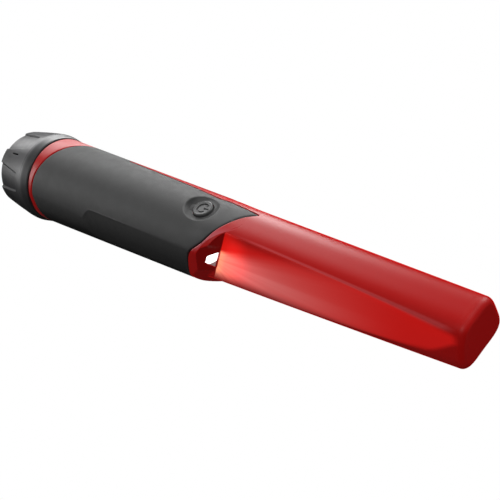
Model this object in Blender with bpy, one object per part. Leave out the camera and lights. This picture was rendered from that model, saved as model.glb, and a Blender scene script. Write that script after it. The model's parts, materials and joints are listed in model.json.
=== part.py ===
"""Pinpointer probe: a hand-held metal detecting probe, built as separate pieces.

Frame: the long axis is X, the tip points to +X, the button faces +Z and the lamp is on the -Y side.
The origin is the centre of the end cap's rear face. The pieces are modelled with X measured from the
seam, the plane where the end cap meets the housing, and move to the frame at the end.
Angles around the probe are measured from +Z towards -Y, the light side.
"""
import math
from collections import namedtuple

import bmesh
import bpy
from mathutils import Vector

MM = 0.001
GAP = 0.3 * MM                      # space left between neighbouring pieces

# ---- driving dimensions -------------------------------------------------------------------------
PROBE_LENGTH = 216.0 * MM           # seam plane to tip face
CAP_LENGTH = 24.8 * MM              # seam plane to the cap's rear face
GRIP_LENGTH = 98.0 * MM             # seam plane to the step behind the channel
FAIRING_LENGTH = 26.0 * MM          # belly and far side run from grip size down to probe size
FAIRING_INSET = 0.8 * MM            # the fairing ends this far inside the probe
PROBE_START = 96.0 * MM             # where the probe's own form begins, inside the grip
PROBE_OUTSIDE = 102.0 * MM          # from here on it may stand outside the grip
SLEEVE_THICKNESS = 1.5 * MM
WALL = 2.0 * MM
TIP_EDGE_RADIUS = 2.4 * MM

# A cross-section is a rounded keystone: half width, height above and below the axis,
# how much it widens downwards, and the power that squares it (2 is a circle).
Section = namedtuple("Section", "half_width top bottom tilt power")
SEAM_SECTION = Section(19.1 * MM, 19.1 * MM, 19.1 * MM, 0.0, 2.0)
GRIP_SECTION = Section(17.2 * MM, 14.3 * MM, 17.9 * MM, 0.07, 2.1)
SHANK_SECTION = Section(14.3 * MM, 14.4 * MM, 14.3 * MM, 0.07, 2.8)
TIP_SECTION = Section(11.35 * MM, 8.45 * MM, 10.0 * MM, 0.17, 3.65)

# ---- the light side: a flat channel floor and the slanted wall that holds the lamp ---------------
LIGHT_ANGLE = math.radians(72.0)    # the direction that the channel faces
FLOOR_DEPTH = 10.3 * MM             # floor's distance from the axis where it meets the wall
FLOOR_RISE = 0.005                  # how the floor moves outwards towards the tip
FLOOR_START_X = 110.0 * MM
WALL_X = 124.7 * MM                 # where the wall's plane crosses the long axis
WALL_SLOPE = 1.41                   # the wall moves back by this much per unit outwards
WALL_SKEW = 0.4                     # and by this much per unit downwards

# The lamp's D-shaped window in the wall, just above the channel floor
LAMP_DOWN = 3.0 * MM                # distance from the floor's middle line
LAMP_DEPTH = FLOOR_DEPTH + 0.35 * MM
LAMP_RADIUS = 2.6 * MM
LAMP_REAR_X = 99.5 * MM
EMITTER_DEPTH = FLOOR_DEPTH + 1.75 * MM
EMITTER_RADIUS = 1.35 * MM
EMITTER_REAR_X = 90.0 * MM
EMITTER_LENGTH = 6.5 * MM           # without its domed end

# Front and rear edges of the rubber sleeve: angle in degrees, distance along the probe in mm.
SLEEVE_FRONT = ((-100, 100), (-92, 88), (-80, 74), (-70, 62), (-60, 50), (-53, 42), (-48, 39),
                (-44, 43), (-40, 62), (-37, 84), (-32.5, 99), (-29.5, 113), (-26.5, 120.4), (-21, 119),
                (-12, 116.5), (0, 114), (16, 111.5), (34, 108.5), (50, 105.5), (60, 102.8), (72, 99.9),
                (84, 98.8), (97, 98.7), (114, 100.2), (150, 101), (260, 100))
SLEEVE_ARC_RADIUS = 17.2 * MM       # mean radius used to measure distances along the outline
SLEEVE_COLUMN = 8.0                 # degrees between the sleeve's columns
SEAM_SWEEP_MEAN = 10.6 * MM         # the red collar is widest on the far side
SEAM_SWEEP = 8.3 * MM
SEAM_SWEEP_ANGLE = -110.0

# Finger flat on the light side of the grip
FLAT_START = 36.0 * MM               # the flat sinks in over a short run-out
FLAT_RUN_OUT = 6.0 * MM
FLAT_DEPTH = 1.4 * MM
FLAT_LEAN = 0.14                    # the flat leans outwards going down
FLAT_INSET_SEAM = 17.6 * MM
FLAT_INSET_GRIP = 15.75 * MM
FLAT_LIMIT = 0.3                    # beyond this slant the flat misses the grip

# Button and its dished well
BUTTON_X = 97.0 * MM
BUTTON_RADIUS = 4.15 * MM
BUTTON_TOP_Z = 14.0 * MM
BUTTON_STEM_RADIUS = 1.6 * MM
BUTTON_FLANGE_RADIUS = BUTTON_RADIUS + 1.2 * MM
BUTTON_FLANGE_TOP = 9.8 * MM
PLUNGER_RADIUS = 1.75 * MM
BUTTON_HOLE_LOW = 5.0 * MM
BUTTON_HOLE_HIGH = 25.0 * MM
DISH_RADIUS = 7.5 * MM
DISH_DEPTH = 1.1 * MM

# Neck, thread and cap
NECK_RADIUS = 16.6 * MM
NECK_LENGTH = 13.0 * MM
BORE_RADIUS = 14.8 * MM
BORE_Z = -0.5 * MM
THREAD_PITCH = 3.0 * MM
THREAD_HEIGHT = 0.8 * MM
THREAD_WIDTH = 1.0 * MM
THREAD_TURNS = 1.5
THREAD_START_X = -11.0 * MM
CAP_BORE_RADIUS = 17.7 * MM
CAP_REAR_RADIUS = 17.6 * MM
CAP_REAR_EDGE = 0.9 * MM
CAP_BELT_RADIUS = 20.3 * MM         # the cap is widest here
CAP_BELT_X = -4.0 * MM
CAP_RIM_RADIUS = 19.4 * MM
CAP_PAD_COUNT = 6
CAP_PAD_FRONT_X = -8.0 * MM
CAP_PAD_DEPTH = 0.55 * MM
CAP_PAD_EDGE = 0.4 * MM
CAP_CONE_POWER = 1.25
CAP_FRONT_X = -0.4 * MM
CAP_POCKET_RADIUS = 18.5 * MM       # room for the O-ring
CAP_POCKET_X = -3.0 * MM
CAP_BORE_END_X = -14.2 * MM
CAP_SMALL_BORE = 15.3 * MM          # beyond the thread
CAP_FLOOR = 2.0 * MM
CAP_STEPS = 72

# Battery bay
BATTERY_LENGTH = 45.5 * MM
BATTERY_WIDTH = 26.0 * MM
BATTERY_HEIGHT = 17.0 * MM
BATTERY_CORNER = 3.2 * MM
BATTERY_REAR_X = -13.5 * MM
STUD_PITCH = 12.7 * MM
STUD_HEIGHT = 2.6 * MM
CONTACT_PLATE_X = 37.0 * MM

# Electronics
BOARD_REAR_X = 42.0 * MM
BOARD_FRONT_X = 112.0 * MM
BOARD_WIDTH = 14.6 * MM
BOARD_TOP_Z = 3.0 * MM
BOARD_THICKNESS = 1.6 * MM
MOTOR_RADIUS = 3.5 * MM
MOTOR_Z = -9.4 * MM
MOTOR_REAR_X = 50.0 * MM
MOTOR_LENGTH = 15.0 * MM
SHAFT_RADIUS = 0.6 * MM
SHAFT_HOLE_RADIUS = 0.9 * MM

# Search coil
ROD_RADIUS = 4.0 * MM
ROD_Y = 1.2 * MM
ROD_Z = -1.2 * MM
ROD_REAR_X = 121.0 * MM
ROD_LENGTH = 80.0 * MM

ROUND_STEPS = 48
SMALL_STEPS = 20
THREAD_STEPS = 24                   # per turn


# ---- scene and material helpers -----------------------------------------------------------------
def clear_scene():
    for obj in list(bpy.data.objects):
        bpy.data.objects.remove(obj, do_unlink=True)


def make_material(name, color, roughness, metallic=0.0):
    material = bpy.data.materials.new(name)
    material.use_nodes = True
    shader = material.node_tree.nodes["Principled BSDF"]
    shader.inputs["Base Color"].default_value = (*color, 1.0)
    shader.inputs["Roughness"].default_value = roughness
    shader.inputs["Metallic"].default_value = metallic
    material.diffuse_color = (*color, 1.0)
    return material


def make_object(name, bm, material, origin=(0.0, 0.0, 0.0), sharp_angle=35.0):
    """Turn a bmesh given in world coordinates into an object whose origin is at a chosen point."""
    bmesh.ops.recalc_face_normals(bm, faces=bm.faces)
    mesh = bpy.data.meshes.new(name)
    bmesh.ops.translate(bm, verts=bm.verts, vec=-Vector(origin))
    bm.to_mesh(mesh)
    bm.free()
    mesh.shade_smooth()
    mesh.set_sharp_from_angle(angle=math.radians(sharp_angle))
    obj = bpy.data.objects.new(name, mesh)
    obj.location = origin
    bpy.context.scene.collection.objects.link(obj)
    if material is not None:
        mesh.materials.append(material)
    return obj


def make_cutter(name, bm):
    cutter = make_object(name, bm, None)
    cutter.hide_render = True
    cutter.display_type = 'WIRE'
    return cutter


def add_boolean(target, tool, operation):
    modifier = target.modifiers.new(tool.name, 'BOOLEAN')
    modifier.operation = operation
    modifier.solver = 'EXACT'
    modifier.object = tool


def cut(target, name, bm):
    add_boolean(target, make_cutter(name, bm), 'DIFFERENCE')


def join(target, name, bm):
    add_boolean(target, make_cutter(name, bm), 'UNION')


# ---- shape helpers ------------------------------------------------------------------------------
def around(x, angle, radius, y=0.0, z=0.0):
    """A point at an angle from +Z towards -Y, about an axis along X through (y, z)."""
    return Vector((x, y - radius * math.sin(angle), z + radius * math.cos(angle)))


def loft(rings, closed_loop=False):
    """Join rings of points into a closed solid; a closed loop of rings makes a tube wall."""
    bm = bmesh.new()
    loops = [[bm.verts.new(point) for point in ring] for ring in rings]
    pairs = list(zip(loops[:-1], loops[1:]))
    if closed_loop:
        pairs.append((loops[-1], loops[0]))
    for first, second in pairs:
        count = len(first)
        for i in range(count):
            j = (i + 1) % count
            bm.faces.new((first[i], first[j], second[j], second[i]))
    if not closed_loop:
        bm.faces.new(loops[0])
        bm.faces.new(loops[-1])
    return bm


def turned(profile, steps=ROUND_STEPS, y=0.0, z=0.0, closed_loop=False):
    """A solid turned about an axis along X: the profile is a list of (x, radius)."""
    angles = [2.0 * math.pi * i / steps for i in range(steps)]
    rings = [[around(x, angle, radius, y, z) for angle in angles] for x, radius in profile]
    return loft(rings, closed_loop)


def disc_along_x(x0, x1, radius, y=0.0, z=0.0, steps=SMALL_STEPS):
    return turned([(x0, radius), (x1, radius)], steps, y, z)


def post(x, y, z0, z1, radius, steps=SMALL_STEPS):
    """An upright cylinder."""
    rings = []
    for z in (z0, z1):
        ring = []
        for i in range(steps):
            angle = 2.0 * math.pi * i / steps
            ring.append(Vector((x + radius * math.cos(angle), y + radius * math.sin(angle), z)))
        rings.append(ring)
    return loft(rings)


def stepped_post(x, y, levels, steps=SMALL_STEPS):
    """An upright turned solid: levels is a list of (z, radius)."""
    rings = []
    for z, radius in levels:
        ring = []
        for i in range(steps):
            angle = 2.0 * math.pi * i / steps
            ring.append(Vector((x + radius * math.cos(angle), y + radius * math.sin(angle), z)))
        rings.append(ring)
    return loft(rings)


def block(x0, x1, y0, y1, z0, z1):
    rings = []
    for x in (x0, x1):
        rings.append([Vector((x, y0, z0)), Vector((x, y1, z0)), Vector((x, y1, z1)), Vector((x, y0, z1))])
    return loft(rings)


def rounded_bar(x0, x1, half_width, half_height, corner, y=0.0, z=0.0, corner_steps=4):
    """A bar along X with rounded long edges."""
    ring = []
    for quarter in range(4):
        side_y = half_width - corner if quarter in (0, 3) else corner - half_width
        side_z = half_height - corner if quarter in (0, 1) else corner - half_height
        for i in range(corner_steps + 1):
            angle = math.pi / 2.0 * (quarter + i / corner_steps)
            ring.append((side_y + corner * math.cos(angle), side_z + corner * math.sin(angle)))
    rings = [[Vector((x, y + a, z + b)) for a, b in ring] for x in (x0, x1)]
    return loft(rings)


def blend_sections(first, second, amount):
    return Section(*[a + (b - a) * amount for a, b in zip(first, second)])


def inset_section(section, distance):
    return section._replace(half_width=section.half_width - distance,
                            top=section.top - distance,
                            bottom=section.bottom - distance)


def section_radius(section, angle):
    """Distance from the axis to the keystone's outline in one direction, by bisection."""
    middle = (section.top - section.bottom) / 2.0
    half_height = (section.top + section.bottom) / 2.0
    low = 0.0
    high = 2.0 * (half_height + section.half_width)
    for _ in range(40):
        radius = (low + high) / 2.0
        y = abs(radius * math.sin(angle))
        z = radius * math.cos(angle) - middle
        width = section.half_width - section.tilt * z
        inside = (y / width) ** section.power + (abs(z) / half_height) ** section.power < 1.0
        if inside:
            low = radius
        else:
            high = radius
    return low


def section_ring(x, section, steps=ROUND_STEPS):
    angles = [2.0 * math.pi * i / steps for i in range(steps)]
    return [around(x, angle, section_radius(section, angle)) for angle in angles]


# ---- outer form ---------------------------------------------------------------------------------
def shank_section(x):
    """The red probe in front of the grip."""
    return blend_sections(SHANK_SECTION, TIP_SECTION, (x - PROBE_START) / (PROBE_LENGTH - PROBE_START))


def grip_section(x):
    """The grip, which fairs down to just inside the probe in front of the step."""
    if x <= GRIP_LENGTH:
        return blend_sections(SEAM_SECTION, GRIP_SECTION, max(x, 0.0) / GRIP_LENGTH)
    end = inset_section(shank_section(GRIP_LENGTH + FAIRING_LENGTH), FAIRING_INSET)
    return blend_sections(GRIP_SECTION, end, (x - GRIP_LENGTH) / FAIRING_LENGTH)


def flat_radius(x, angle):
    """Distance from the axis to the finger flat, in one direction."""
    inset = FLAT_INSET_SEAM + (FLAT_INSET_GRIP - FLAT_INSET_SEAM) * x / GRIP_LENGTH
    across = math.sin(angle) + FLAT_LEAN * math.cos(angle)
    if across <= FLAT_LIMIT:
        return math.inf
    sunk = min(max((x - FLAT_START) / FLAT_RUN_OUT, 0.0), 1.0)
    return (inset + FLAT_DEPTH * (1.0 - sunk)) / across


def grip_radius(x, angle):
    radius = section_radius(grip_section(x), angle)
    if x > FLAT_START:
        radius = min(radius, flat_radius(x, angle))
    return radius


def envelope_radius(x, angle):
    """The outermost of grip and probe: the surface that the rubber sleeve follows."""
    radius = grip_radius(x, angle)
    if x > PROBE_OUTSIDE:
        radius = max(radius, section_radius(shank_section(x), angle))
    return radius


def grown_outline(grow):
    """The sleeve's front outline, moved outwards by a distance measured on the grip's surface."""
    arc = math.radians(1.0) * SLEEVE_ARC_RADIUS
    points = [Vector((degrees * arc, x_mm * MM)) for degrees, x_mm in SLEEVE_FRONT]
    grown = []
    for i, point in enumerate(points):
        if i in (0, len(points) - 1):
            move = Vector((0.0, 1.0))
        else:
            first = (point - points[i - 1]).orthogonal().normalized()
            second = (points[i + 1] - point).orthogonal().normalized()
            move = (first + second) / (1.0 + first.dot(second))
        grown.append(((point.x + grow * move.x) / arc, point.y + grow * move.y))
    return grown


def sleeve_columns(grow):
    """Angle and front end of each column: the outline's points, with even steps between."""
    outline = grown_outline(grow)
    columns = []
    for (a0, x0), (a1, x1) in zip(outline[:-1], outline[1:]):
        count = max(1, round((a1 - a0) / SLEEVE_COLUMN))
        for i in range(count):
            share = i / count
            columns.append((a0 + (a1 - a0) * share, x0 + (x1 - x0) * share))
    return columns


def sleeve_rear(degrees):
    return SEAM_SWEEP_MEAN + SEAM_SWEEP * math.cos(math.radians(degrees - SEAM_SWEEP_ANGLE))


def sleeve_band(grow, inner_inset, outer_offset, rows=8):
    """A tube wall that follows the grip between the sleeve's two edges, which can be grown."""
    rings = []
    for inset in (outer_offset, -inner_inset):
        for i in range(rows + 1):
            share = i / rows if inset == outer_offset else 1.0 - i / rows
            ring = []
            for degrees, front in sleeve_columns(grow):
                rear = sleeve_rear(degrees) - grow
                x = rear + (front - rear) * share
                angle = math.radians(degrees)
                ring.append(around(x, angle, envelope_radius(x, angle) + inset))
            rings.append(ring)
    return loft(rings, closed_loop=True)


def floor_normal():
    return Vector((-FLOOR_RISE, -math.sin(LIGHT_ANGLE), math.cos(LIGHT_ANGLE))).normalized()


def floor_point():
    return around(FLOOR_START_X, LIGHT_ANGLE, FLOOR_DEPTH)


def wall_normal():
    outward = Vector((0.0, -math.sin(LIGHT_ANGLE), math.cos(LIGHT_ANGLE)))
    down = Vector((0.0, -math.cos(LIGHT_ANGLE), -math.sin(LIGHT_ANGLE)))
    return (Vector((1.0, 0.0, 0.0)) + WALL_SLOPE * outward + WALL_SKEW * down).normalized()


def trim(bm, point, normal):
    """Cut away everything on the normal's side of a plane and close the cut."""
    geometry = bm.verts[:] + bm.edges[:] + bm.faces[:]
    result = bmesh.ops.bisect_plane(bm, geom=geometry, dist=1e-7, plane_co=point, plane_no=normal,
                                    clear_outer=True)
    edges = [item for item in result["geom_cut"] if isinstance(item, bmesh.types.BMEdge)]
    bmesh.ops.contextual_create(bm, geom=edges)


# ---- thread -------------------------------------------------------------------------------------
def thread_ridge(root_radius, crest_radius, start_x):
    """A right-handed ridge about X; the root sits inside the wall it grows from."""
    steps = round(THREAD_STEPS * THREAD_TURNS)
    lowest = 0.15
    lead_in = 4.0
    rings = []
    for i in range(steps + 1):
        turn = i / THREAD_STEPS
        angle = 2.0 * math.pi * turn
        x = start_x + THREAD_PITCH * turn
        fade = min(1.0, lowest + i / lead_in, lowest + (steps - i) / lead_in)
        crest = root_radius + (crest_radius - root_radius) * fade
        base = THREAD_WIDTH / 2.0
        top = THREAD_WIDTH / 4.0
        rings.append([around(x - base, angle, root_radius), around(x - top, angle, crest),
                      around(x + top, angle, crest), around(x + base, angle, root_radius)])
    return loft(rings)


# ---- housing ------------------------------------------------------------------------------------
def build_housing(material):
    stations = [0.0, 20.0, 36.0, 42.0, 60.0, 80.0, 98.0, 104.0, 110.0, 117.0, 124.0]
    rings = []
    for x_mm in stations:
        x = x_mm * MM
        angles = [2.0 * math.pi * i / ROUND_STEPS for i in range(ROUND_STEPS)]
        rings.append([around(x, angle, grip_radius(x, angle)) for angle in angles])
    grip = loft(rings)
    trim(grip, Vector((WALL_X, 0.0, 0.0)), wall_normal())
    housing = make_object("probe_housing", grip, material)
    neck_edge = 0.6 * MM
    neck_overlap = 4.0 * MM
    join(housing, "neck_form", turned([(-NECK_LENGTH, NECK_RADIUS - neck_edge),
                                       (-NECK_LENGTH + neck_edge, NECK_RADIUS), (neck_overlap, NECK_RADIUS)]))
    join(housing, "neck_thread", thread_ridge(NECK_RADIUS - GAP, NECK_RADIUS + THREAD_HEIGHT,
                                              THREAD_START_X))
    join(housing, "shank_form", shank_form())
    cut(housing, "rear_bay", rear_bay_form())
    cut(housing, "coil_bay", coil_bay_form())
    cut(housing, "window_hole", window_form(GAP, 88.0 * MM, 0.0, True))
    cut(housing, "button_hole", post(BUTTON_X, 0.0, BUTTON_HOLE_LOW, BUTTON_HOLE_HIGH, BUTTON_RADIUS + GAP))
    clear_outside = 4.0 * MM
    cut(housing, "sleeve_seat", sleeve_band(GAP, SLEEVE_THICKNESS + GAP, clear_outside))
    return housing


def shank_form():
    root_inset = 1.2 * MM
    rings = [section_ring(PROBE_START, inset_section(shank_section(PROBE_START), root_inset))]
    straight_end = PROBE_LENGTH - TIP_EDGE_RADIUS
    for x in (104.0 * MM, 140.0 * MM, 176.0 * MM, straight_end):
        rings.append(section_ring(x, shank_section(x)))
    for i in range(1, 5):
        angle = math.pi / 2.0 * i / 4.0
        x = straight_end + TIP_EDGE_RADIUS * math.sin(angle)
        inset = TIP_EDGE_RADIUS * (1.0 - math.cos(angle))
        rings.append(section_ring(x, inset_section(shank_section(x), inset)))
    shank = loft(rings)
    trim(shank, floor_point(), floor_normal())
    return shank


def rear_bay_form():
    """Round battery bore, then the electronics bay, which tapers with the grip."""
    rear_x = -20.0 * MM
    bore_end_x = 38.0 * MM
    front_x = 92.0 * MM
    front_top = 10.0 * MM
    wall_under_sleeve = 1.5 * MM
    bore = Section(BORE_RADIUS, BORE_RADIUS + BORE_Z, BORE_RADIUS - BORE_Z, 0.0, 2.0)
    inset = SLEEVE_THICKNESS + GAP + wall_under_sleeve
    front = inset_section(grip_section(front_x), inset)._replace(top=front_top)
    return loft([section_ring(rear_x, bore), section_ring(bore_end_x, bore), section_ring(front_x, front)])


def coil_bay_form():
    """The hollow shank, kept clear of the channel floor."""
    rear_x = 84.0 * MM
    rear_top = 11.0 * MM
    tongue_x = 120.0 * MM
    tongue_top = 10.3 * MM
    end_wall = 3.0 * MM
    front_x = PROBE_LENGTH - end_wall
    rear = inset_section(shank_section(rear_x), WALL)._replace(top=rear_top)
    middle = inset_section(shank_section(tongue_x), WALL)._replace(top=tongue_top)
    front = inset_section(shank_section(front_x), WALL)
    bay = loft([section_ring(rear_x, rear), section_ring(tongue_x, middle), section_ring(front_x, front)])
    trim(bay, floor_point() - floor_normal() * WALL, floor_normal())
    return bay


def window_form(grow, rear_x, recess, through):
    """A D-shaped bar along X whose flat side lies on the channel floor."""
    radius = LAMP_RADIUS + grow
    steps = 12
    ring = []
    for i in range(steps + 1):
        angle = math.pi * i / steps
        depth = LAMP_DEPTH + radius * math.sin(angle)
        down = LAMP_DOWN + radius * math.cos(angle) * 1.1
        ring.append((depth, down))
    ring[0] = (LAMP_DEPTH - grow, ring[0][1])
    ring[-1] = (LAMP_DEPTH - grow, ring[-1][1])
    rings = []
    for front in (False, True):
        points = []
        for depth, down in ring:
            y = -depth * math.sin(LIGHT_ANGLE) - down * math.cos(LIGHT_ANGLE)
            z = depth * math.cos(LIGHT_ANGLE) - down * math.sin(LIGHT_ANGLE)
            wall_x = WALL_X - WALL_SLOPE * depth - WALL_SKEW * down
            front_x = wall_x + WALL if through else wall_x - recess
            points.append(Vector((front_x if front else rear_x, y, z)))
        rings.append(points)
    return loft(rings)


def build_neck_seal(material):
    """O-ring at the root of the neck."""
    seal_radius = 0.55 * MM
    centre_radius = NECK_RADIUS + GAP + seal_radius
    centre_x = -1.5 * MM
    steps = 8
    profile = []
    for i in range(steps):
        angle = 2.0 * math.pi * i / steps
        profile.append((centre_x + seal_radius * math.cos(angle), centre_radius + seal_radius * math.sin(angle)))
    return make_object("neck_seal", turned(profile, 40, closed_loop=True), material)


# ---- grip ---------------------------------------------------------------------------------------
def build_sleeve(material):
    sleeve = make_object("grip_sleeve", sleeve_band(0.0, SLEEVE_THICKNESS, 0.0), material)
    dish_sphere = (DISH_RADIUS ** 2 + DISH_DEPTH ** 2) / (2.0 * DISH_DEPTH)
    levels = []
    dish_reach = DISH_RADIUS * 1.15
    centre_radius = 0.2 * MM
    for i in range(4):
        radius = max(dish_reach * i / 3.0, centre_radius)
        sag = dish_sphere - math.sqrt(dish_sphere ** 2 - radius ** 2)
        levels.append((BUTTON_TOP_Z - DISH_DEPTH + sag, radius))
    levels.append((BUTTON_HOLE_HIGH, dish_reach))
    cut(sleeve, "button_dish", stepped_post(BUTTON_X, 0.0, levels, 32))
    cut(sleeve, "button_opening", post(BUTTON_X, 0.0, BUTTON_HOLE_LOW, BUTTON_HOLE_HIGH,
                                       BUTTON_RADIUS + GAP, 24))
    return sleeve


# ---- cap and its pressure plate -------------------------------------------------------------------
def cap_radius(x, angle):
    """Outer form of the cap: a shallow cone with gripping pads, and a rim that narrows to the seam."""
    if x > CAP_BELT_X:
        share = (x - CAP_BELT_X) / -CAP_BELT_X
        return CAP_BELT_RADIUS + (CAP_RIM_RADIUS - CAP_BELT_RADIUS) * share
    share = (CAP_BELT_X - x) / (CAP_LENGTH + CAP_BELT_X)
    radius = CAP_BELT_RADIUS + (CAP_REAR_RADIUS - CAP_BELT_RADIUS) * share ** CAP_CONE_POWER
    between = math.cos(CAP_PAD_COUNT * angle) > 0.0
    if x < CAP_PAD_FRONT_X and between:
        radius -= CAP_PAD_DEPTH
    return radius


def build_cap(material):
    rear_x = -CAP_LENGTH
    cone_x = -16.0 * MM
    angles = [2.0 * math.pi * (i + 0.5) / CAP_STEPS for i in range(CAP_STEPS)]
    rings = [[around(rear_x, angle, cap_radius(rear_x, angle) - CAP_REAR_EDGE) for angle in angles]]
    for x in (rear_x + CAP_REAR_EDGE, cone_x, CAP_PAD_FRONT_X - CAP_PAD_EDGE, CAP_PAD_FRONT_X + CAP_PAD_EDGE,
              CAP_BELT_X, CAP_FRONT_X):
        rings.append([around(x, angle, cap_radius(x, angle)) for angle in angles])
    floor_x = rear_x + CAP_FLOOR
    inner = [(CAP_FRONT_X, CAP_POCKET_RADIUS), (CAP_POCKET_X, CAP_POCKET_RADIUS),
             (CAP_POCKET_X, CAP_BORE_RADIUS), (CAP_BORE_END_X, CAP_BORE_RADIUS),
             (CAP_BORE_END_X - MM, CAP_SMALL_BORE), (floor_x, CAP_SMALL_BORE)]
    for x, radius in inner:
        rings.append([around(x, angle, radius) for angle in angles])
    cap = make_object("end_cap", loft(rings), material)
    join(cap, "cap_thread", thread_ridge(CAP_BORE_RADIUS + GAP, CAP_BORE_RADIUS - THREAD_HEIGHT,
                                         THREAD_START_X + THREAD_PITCH / 2.0))
    return cap


def build_pressure_plate(plate_material, pad_material):
    hub_x = -20.5 * MM
    hub_radius = 4.0 * MM
    plate_x = -19.2 * MM
    plate_front_x = -17.6 * MM
    plate_radius = 13.5 * MM
    pad_radius = 11.0 * MM
    plate = turned([(hub_x, hub_radius), (plate_x, hub_radius), (plate_x, plate_radius),
                    (plate_front_x, plate_radius)], 32)
    pad = disc_along_x(plate_front_x + GAP, BATTERY_REAR_X - GAP, pad_radius, 0.0, 0.0, 32)
    return [make_object("pressure_plate", plate, plate_material),
            make_object("battery_pad", pad, pad_material)]


# ---- battery and contacts -------------------------------------------------------------------------
def build_battery(wrap, steel):
    front_x = BATTERY_REAR_X + BATTERY_LENGTH
    case = rounded_bar(BATTERY_REAR_X, front_x, BATTERY_WIDTH / 2.0, BATTERY_HEIGHT / 2.0,
                       BATTERY_CORNER, 0.0, BORE_Z)
    stud_x = front_x + GAP
    plus = turned([(stud_x, 3.2 * MM), (stud_x + 0.5 * MM, 3.2 * MM), (stud_x + 0.7 * MM, 2.4 * MM),
                   (stud_x + 1.9 * MM, 2.4 * MM), (stud_x + 2.2 * MM, 2.8 * MM),
                   (stud_x + STUD_HEIGHT, 2.7 * MM)], 16, STUD_PITCH / 2.0, BORE_Z)
    minus = turned([(stud_x, 3.4 * MM), (stud_x + STUD_HEIGHT, 4.1 * MM),
                    (stud_x + STUD_HEIGHT, 3.2 * MM), (stud_x + 0.6 * MM, 3.0 * MM)],
                   12, -STUD_PITCH / 2.0, BORE_Z)
    return [make_object("battery_case", case, wrap), make_object("battery_plus_stud", plus, steel),
            make_object("battery_minus_stud", minus, steel)]


def build_contacts(plastic, brass):
    plate_thickness = 1.8 * MM
    plate_radius = 13.8 * MM
    plate = disc_along_x(CONTACT_PLATE_X, CONTACT_PLATE_X + plate_thickness, plate_radius, 0.0, BORE_Z, 40)
    pieces = [make_object("contact_plate", plate, plastic)]
    stud_front = BATTERY_REAR_X + BATTERY_LENGTH + GAP + STUD_HEIGHT
    for name, side in (("plus_contact", 1.0), ("minus_contact", -1.0)):
        y = side * STUD_PITCH / 2.0
        pieces.append(make_object(name, spring_leaf(stud_front + GAP, y), brass))
    return pieces


def spring_leaf(front_x, y):
    """A bent leaf: a foot on the contact plate and a bowed tongue towards the battery stud."""
    half_width = 2.5 * MM
    thickness = 0.35 * MM
    back_x = CONTACT_PLATE_X - GAP
    outline = [(back_x, BORE_Z - 7.0 * MM), (back_x, BORE_Z - 4.0 * MM),
               (front_x + thickness, BORE_Z - 1.5 * MM), (front_x + thickness, BORE_Z + 1.5 * MM),
               (back_x - 0.6 * MM, BORE_Z + 4.5 * MM)]
    rings = []
    for x, z in outline:
        rings.append([Vector((x, y - half_width, z)), Vector((x, y + half_width, z)),
                      Vector((x - thickness, y + half_width, z)), Vector((x - thickness, y - half_width, z))])
    return loft(rings)


# ---- electronics ----------------------------------------------------------------------------------
SCREW_PLACES = ((45.5 * MM, -4.6 * MM), (45.5 * MM, 4.6 * MM), (108.5 * MM, 0.0))
SCREW_HOLE_RADIUS = 1.1 * MM
SCREW_RADIUS = 0.9 * MM
SCREW_HEAD_RADIUS = 1.9 * MM
SCREW_END_Z = -2.4 * MM
TRAY_TOP_Z = -3.0 * MM
TRAY_BOTTOM_Z = -4.6 * MM
TRAY_REAR_X = 40.5 * MM
TRAY_FRONT_X = 116.0 * MM
TRAY_HALF_WIDTH = 8.6 * MM
BOSS_RADIUS = 2.4 * MM


def build_board(board_material):
    board_bottom = BOARD_TOP_Z - BOARD_THICKNESS
    board = make_object("main_board", block(BOARD_REAR_X, BOARD_FRONT_X, -BOARD_WIDTH / 2.0,
                                            BOARD_WIDTH / 2.0, board_bottom, BOARD_TOP_Z), board_material)
    for i, (x, y) in enumerate(SCREW_PLACES):
        hole = post(x, y, board_bottom - MM, BOARD_TOP_Z + MM, SCREW_HOLE_RADIUS, 12)
        cut(board, f"board_hole_{i + 1}", hole)
    return board


def build_tray(plastic):
    """Moulded tray under the board, with a boss under each screw."""
    boss_top = BOARD_TOP_Z - BOARD_THICKNESS - GAP
    plate = block(TRAY_REAR_X, TRAY_FRONT_X, -TRAY_HALF_WIDTH, TRAY_HALF_WIDTH, TRAY_BOTTOM_Z, TRAY_TOP_Z)
    tray = make_object("board_tray", plate, plastic)
    for i, (x, y) in enumerate(SCREW_PLACES):
        join(tray, f"tray_boss_{i + 1}", post(x, y, TRAY_TOP_Z - MM / 2.0, boss_top, BOSS_RADIUS, 16))
    hole_depth = 0.2 * MM
    for i, (x, y) in enumerate(SCREW_PLACES):
        hole = post(x, y, TRAY_TOP_Z - hole_depth, boss_top + MM, SCREW_HOLE_RADIUS, 12)
        cut(tray, f"tray_hole_{i + 1}", hole)
    return tray


def build_screws(steel):
    head = BOARD_TOP_Z + GAP
    head_side = 0.8 * MM
    head_height = 1.3 * MM
    crown_radius = 1.2 * MM
    point_radius = 0.5 * MM
    point_length = 0.6 * MM
    slot_floor = head + 0.7 * MM
    slot_reach = 3.0 * MM
    screws = []
    for i, (x, y) in enumerate(SCREW_PLACES):
        levels = [(SCREW_END_Z, point_radius), (SCREW_END_Z + point_length, SCREW_RADIUS),
                  (head, SCREW_RADIUS), (head, SCREW_HEAD_RADIUS), (head + head_side, SCREW_HEAD_RADIUS),
                  (head + head_height, crown_radius)]
        screw = make_object(f"board_screw_{i + 1}", stepped_post(x, y, levels, 16), steel)
        slot = block(x - slot_reach, x + slot_reach, y - GAP, y + GAP, slot_floor, head + slot_reach)
        cut(screw, f"screw_slot_{i + 1}", slot)
        screws.append(screw)
    return screws


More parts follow.
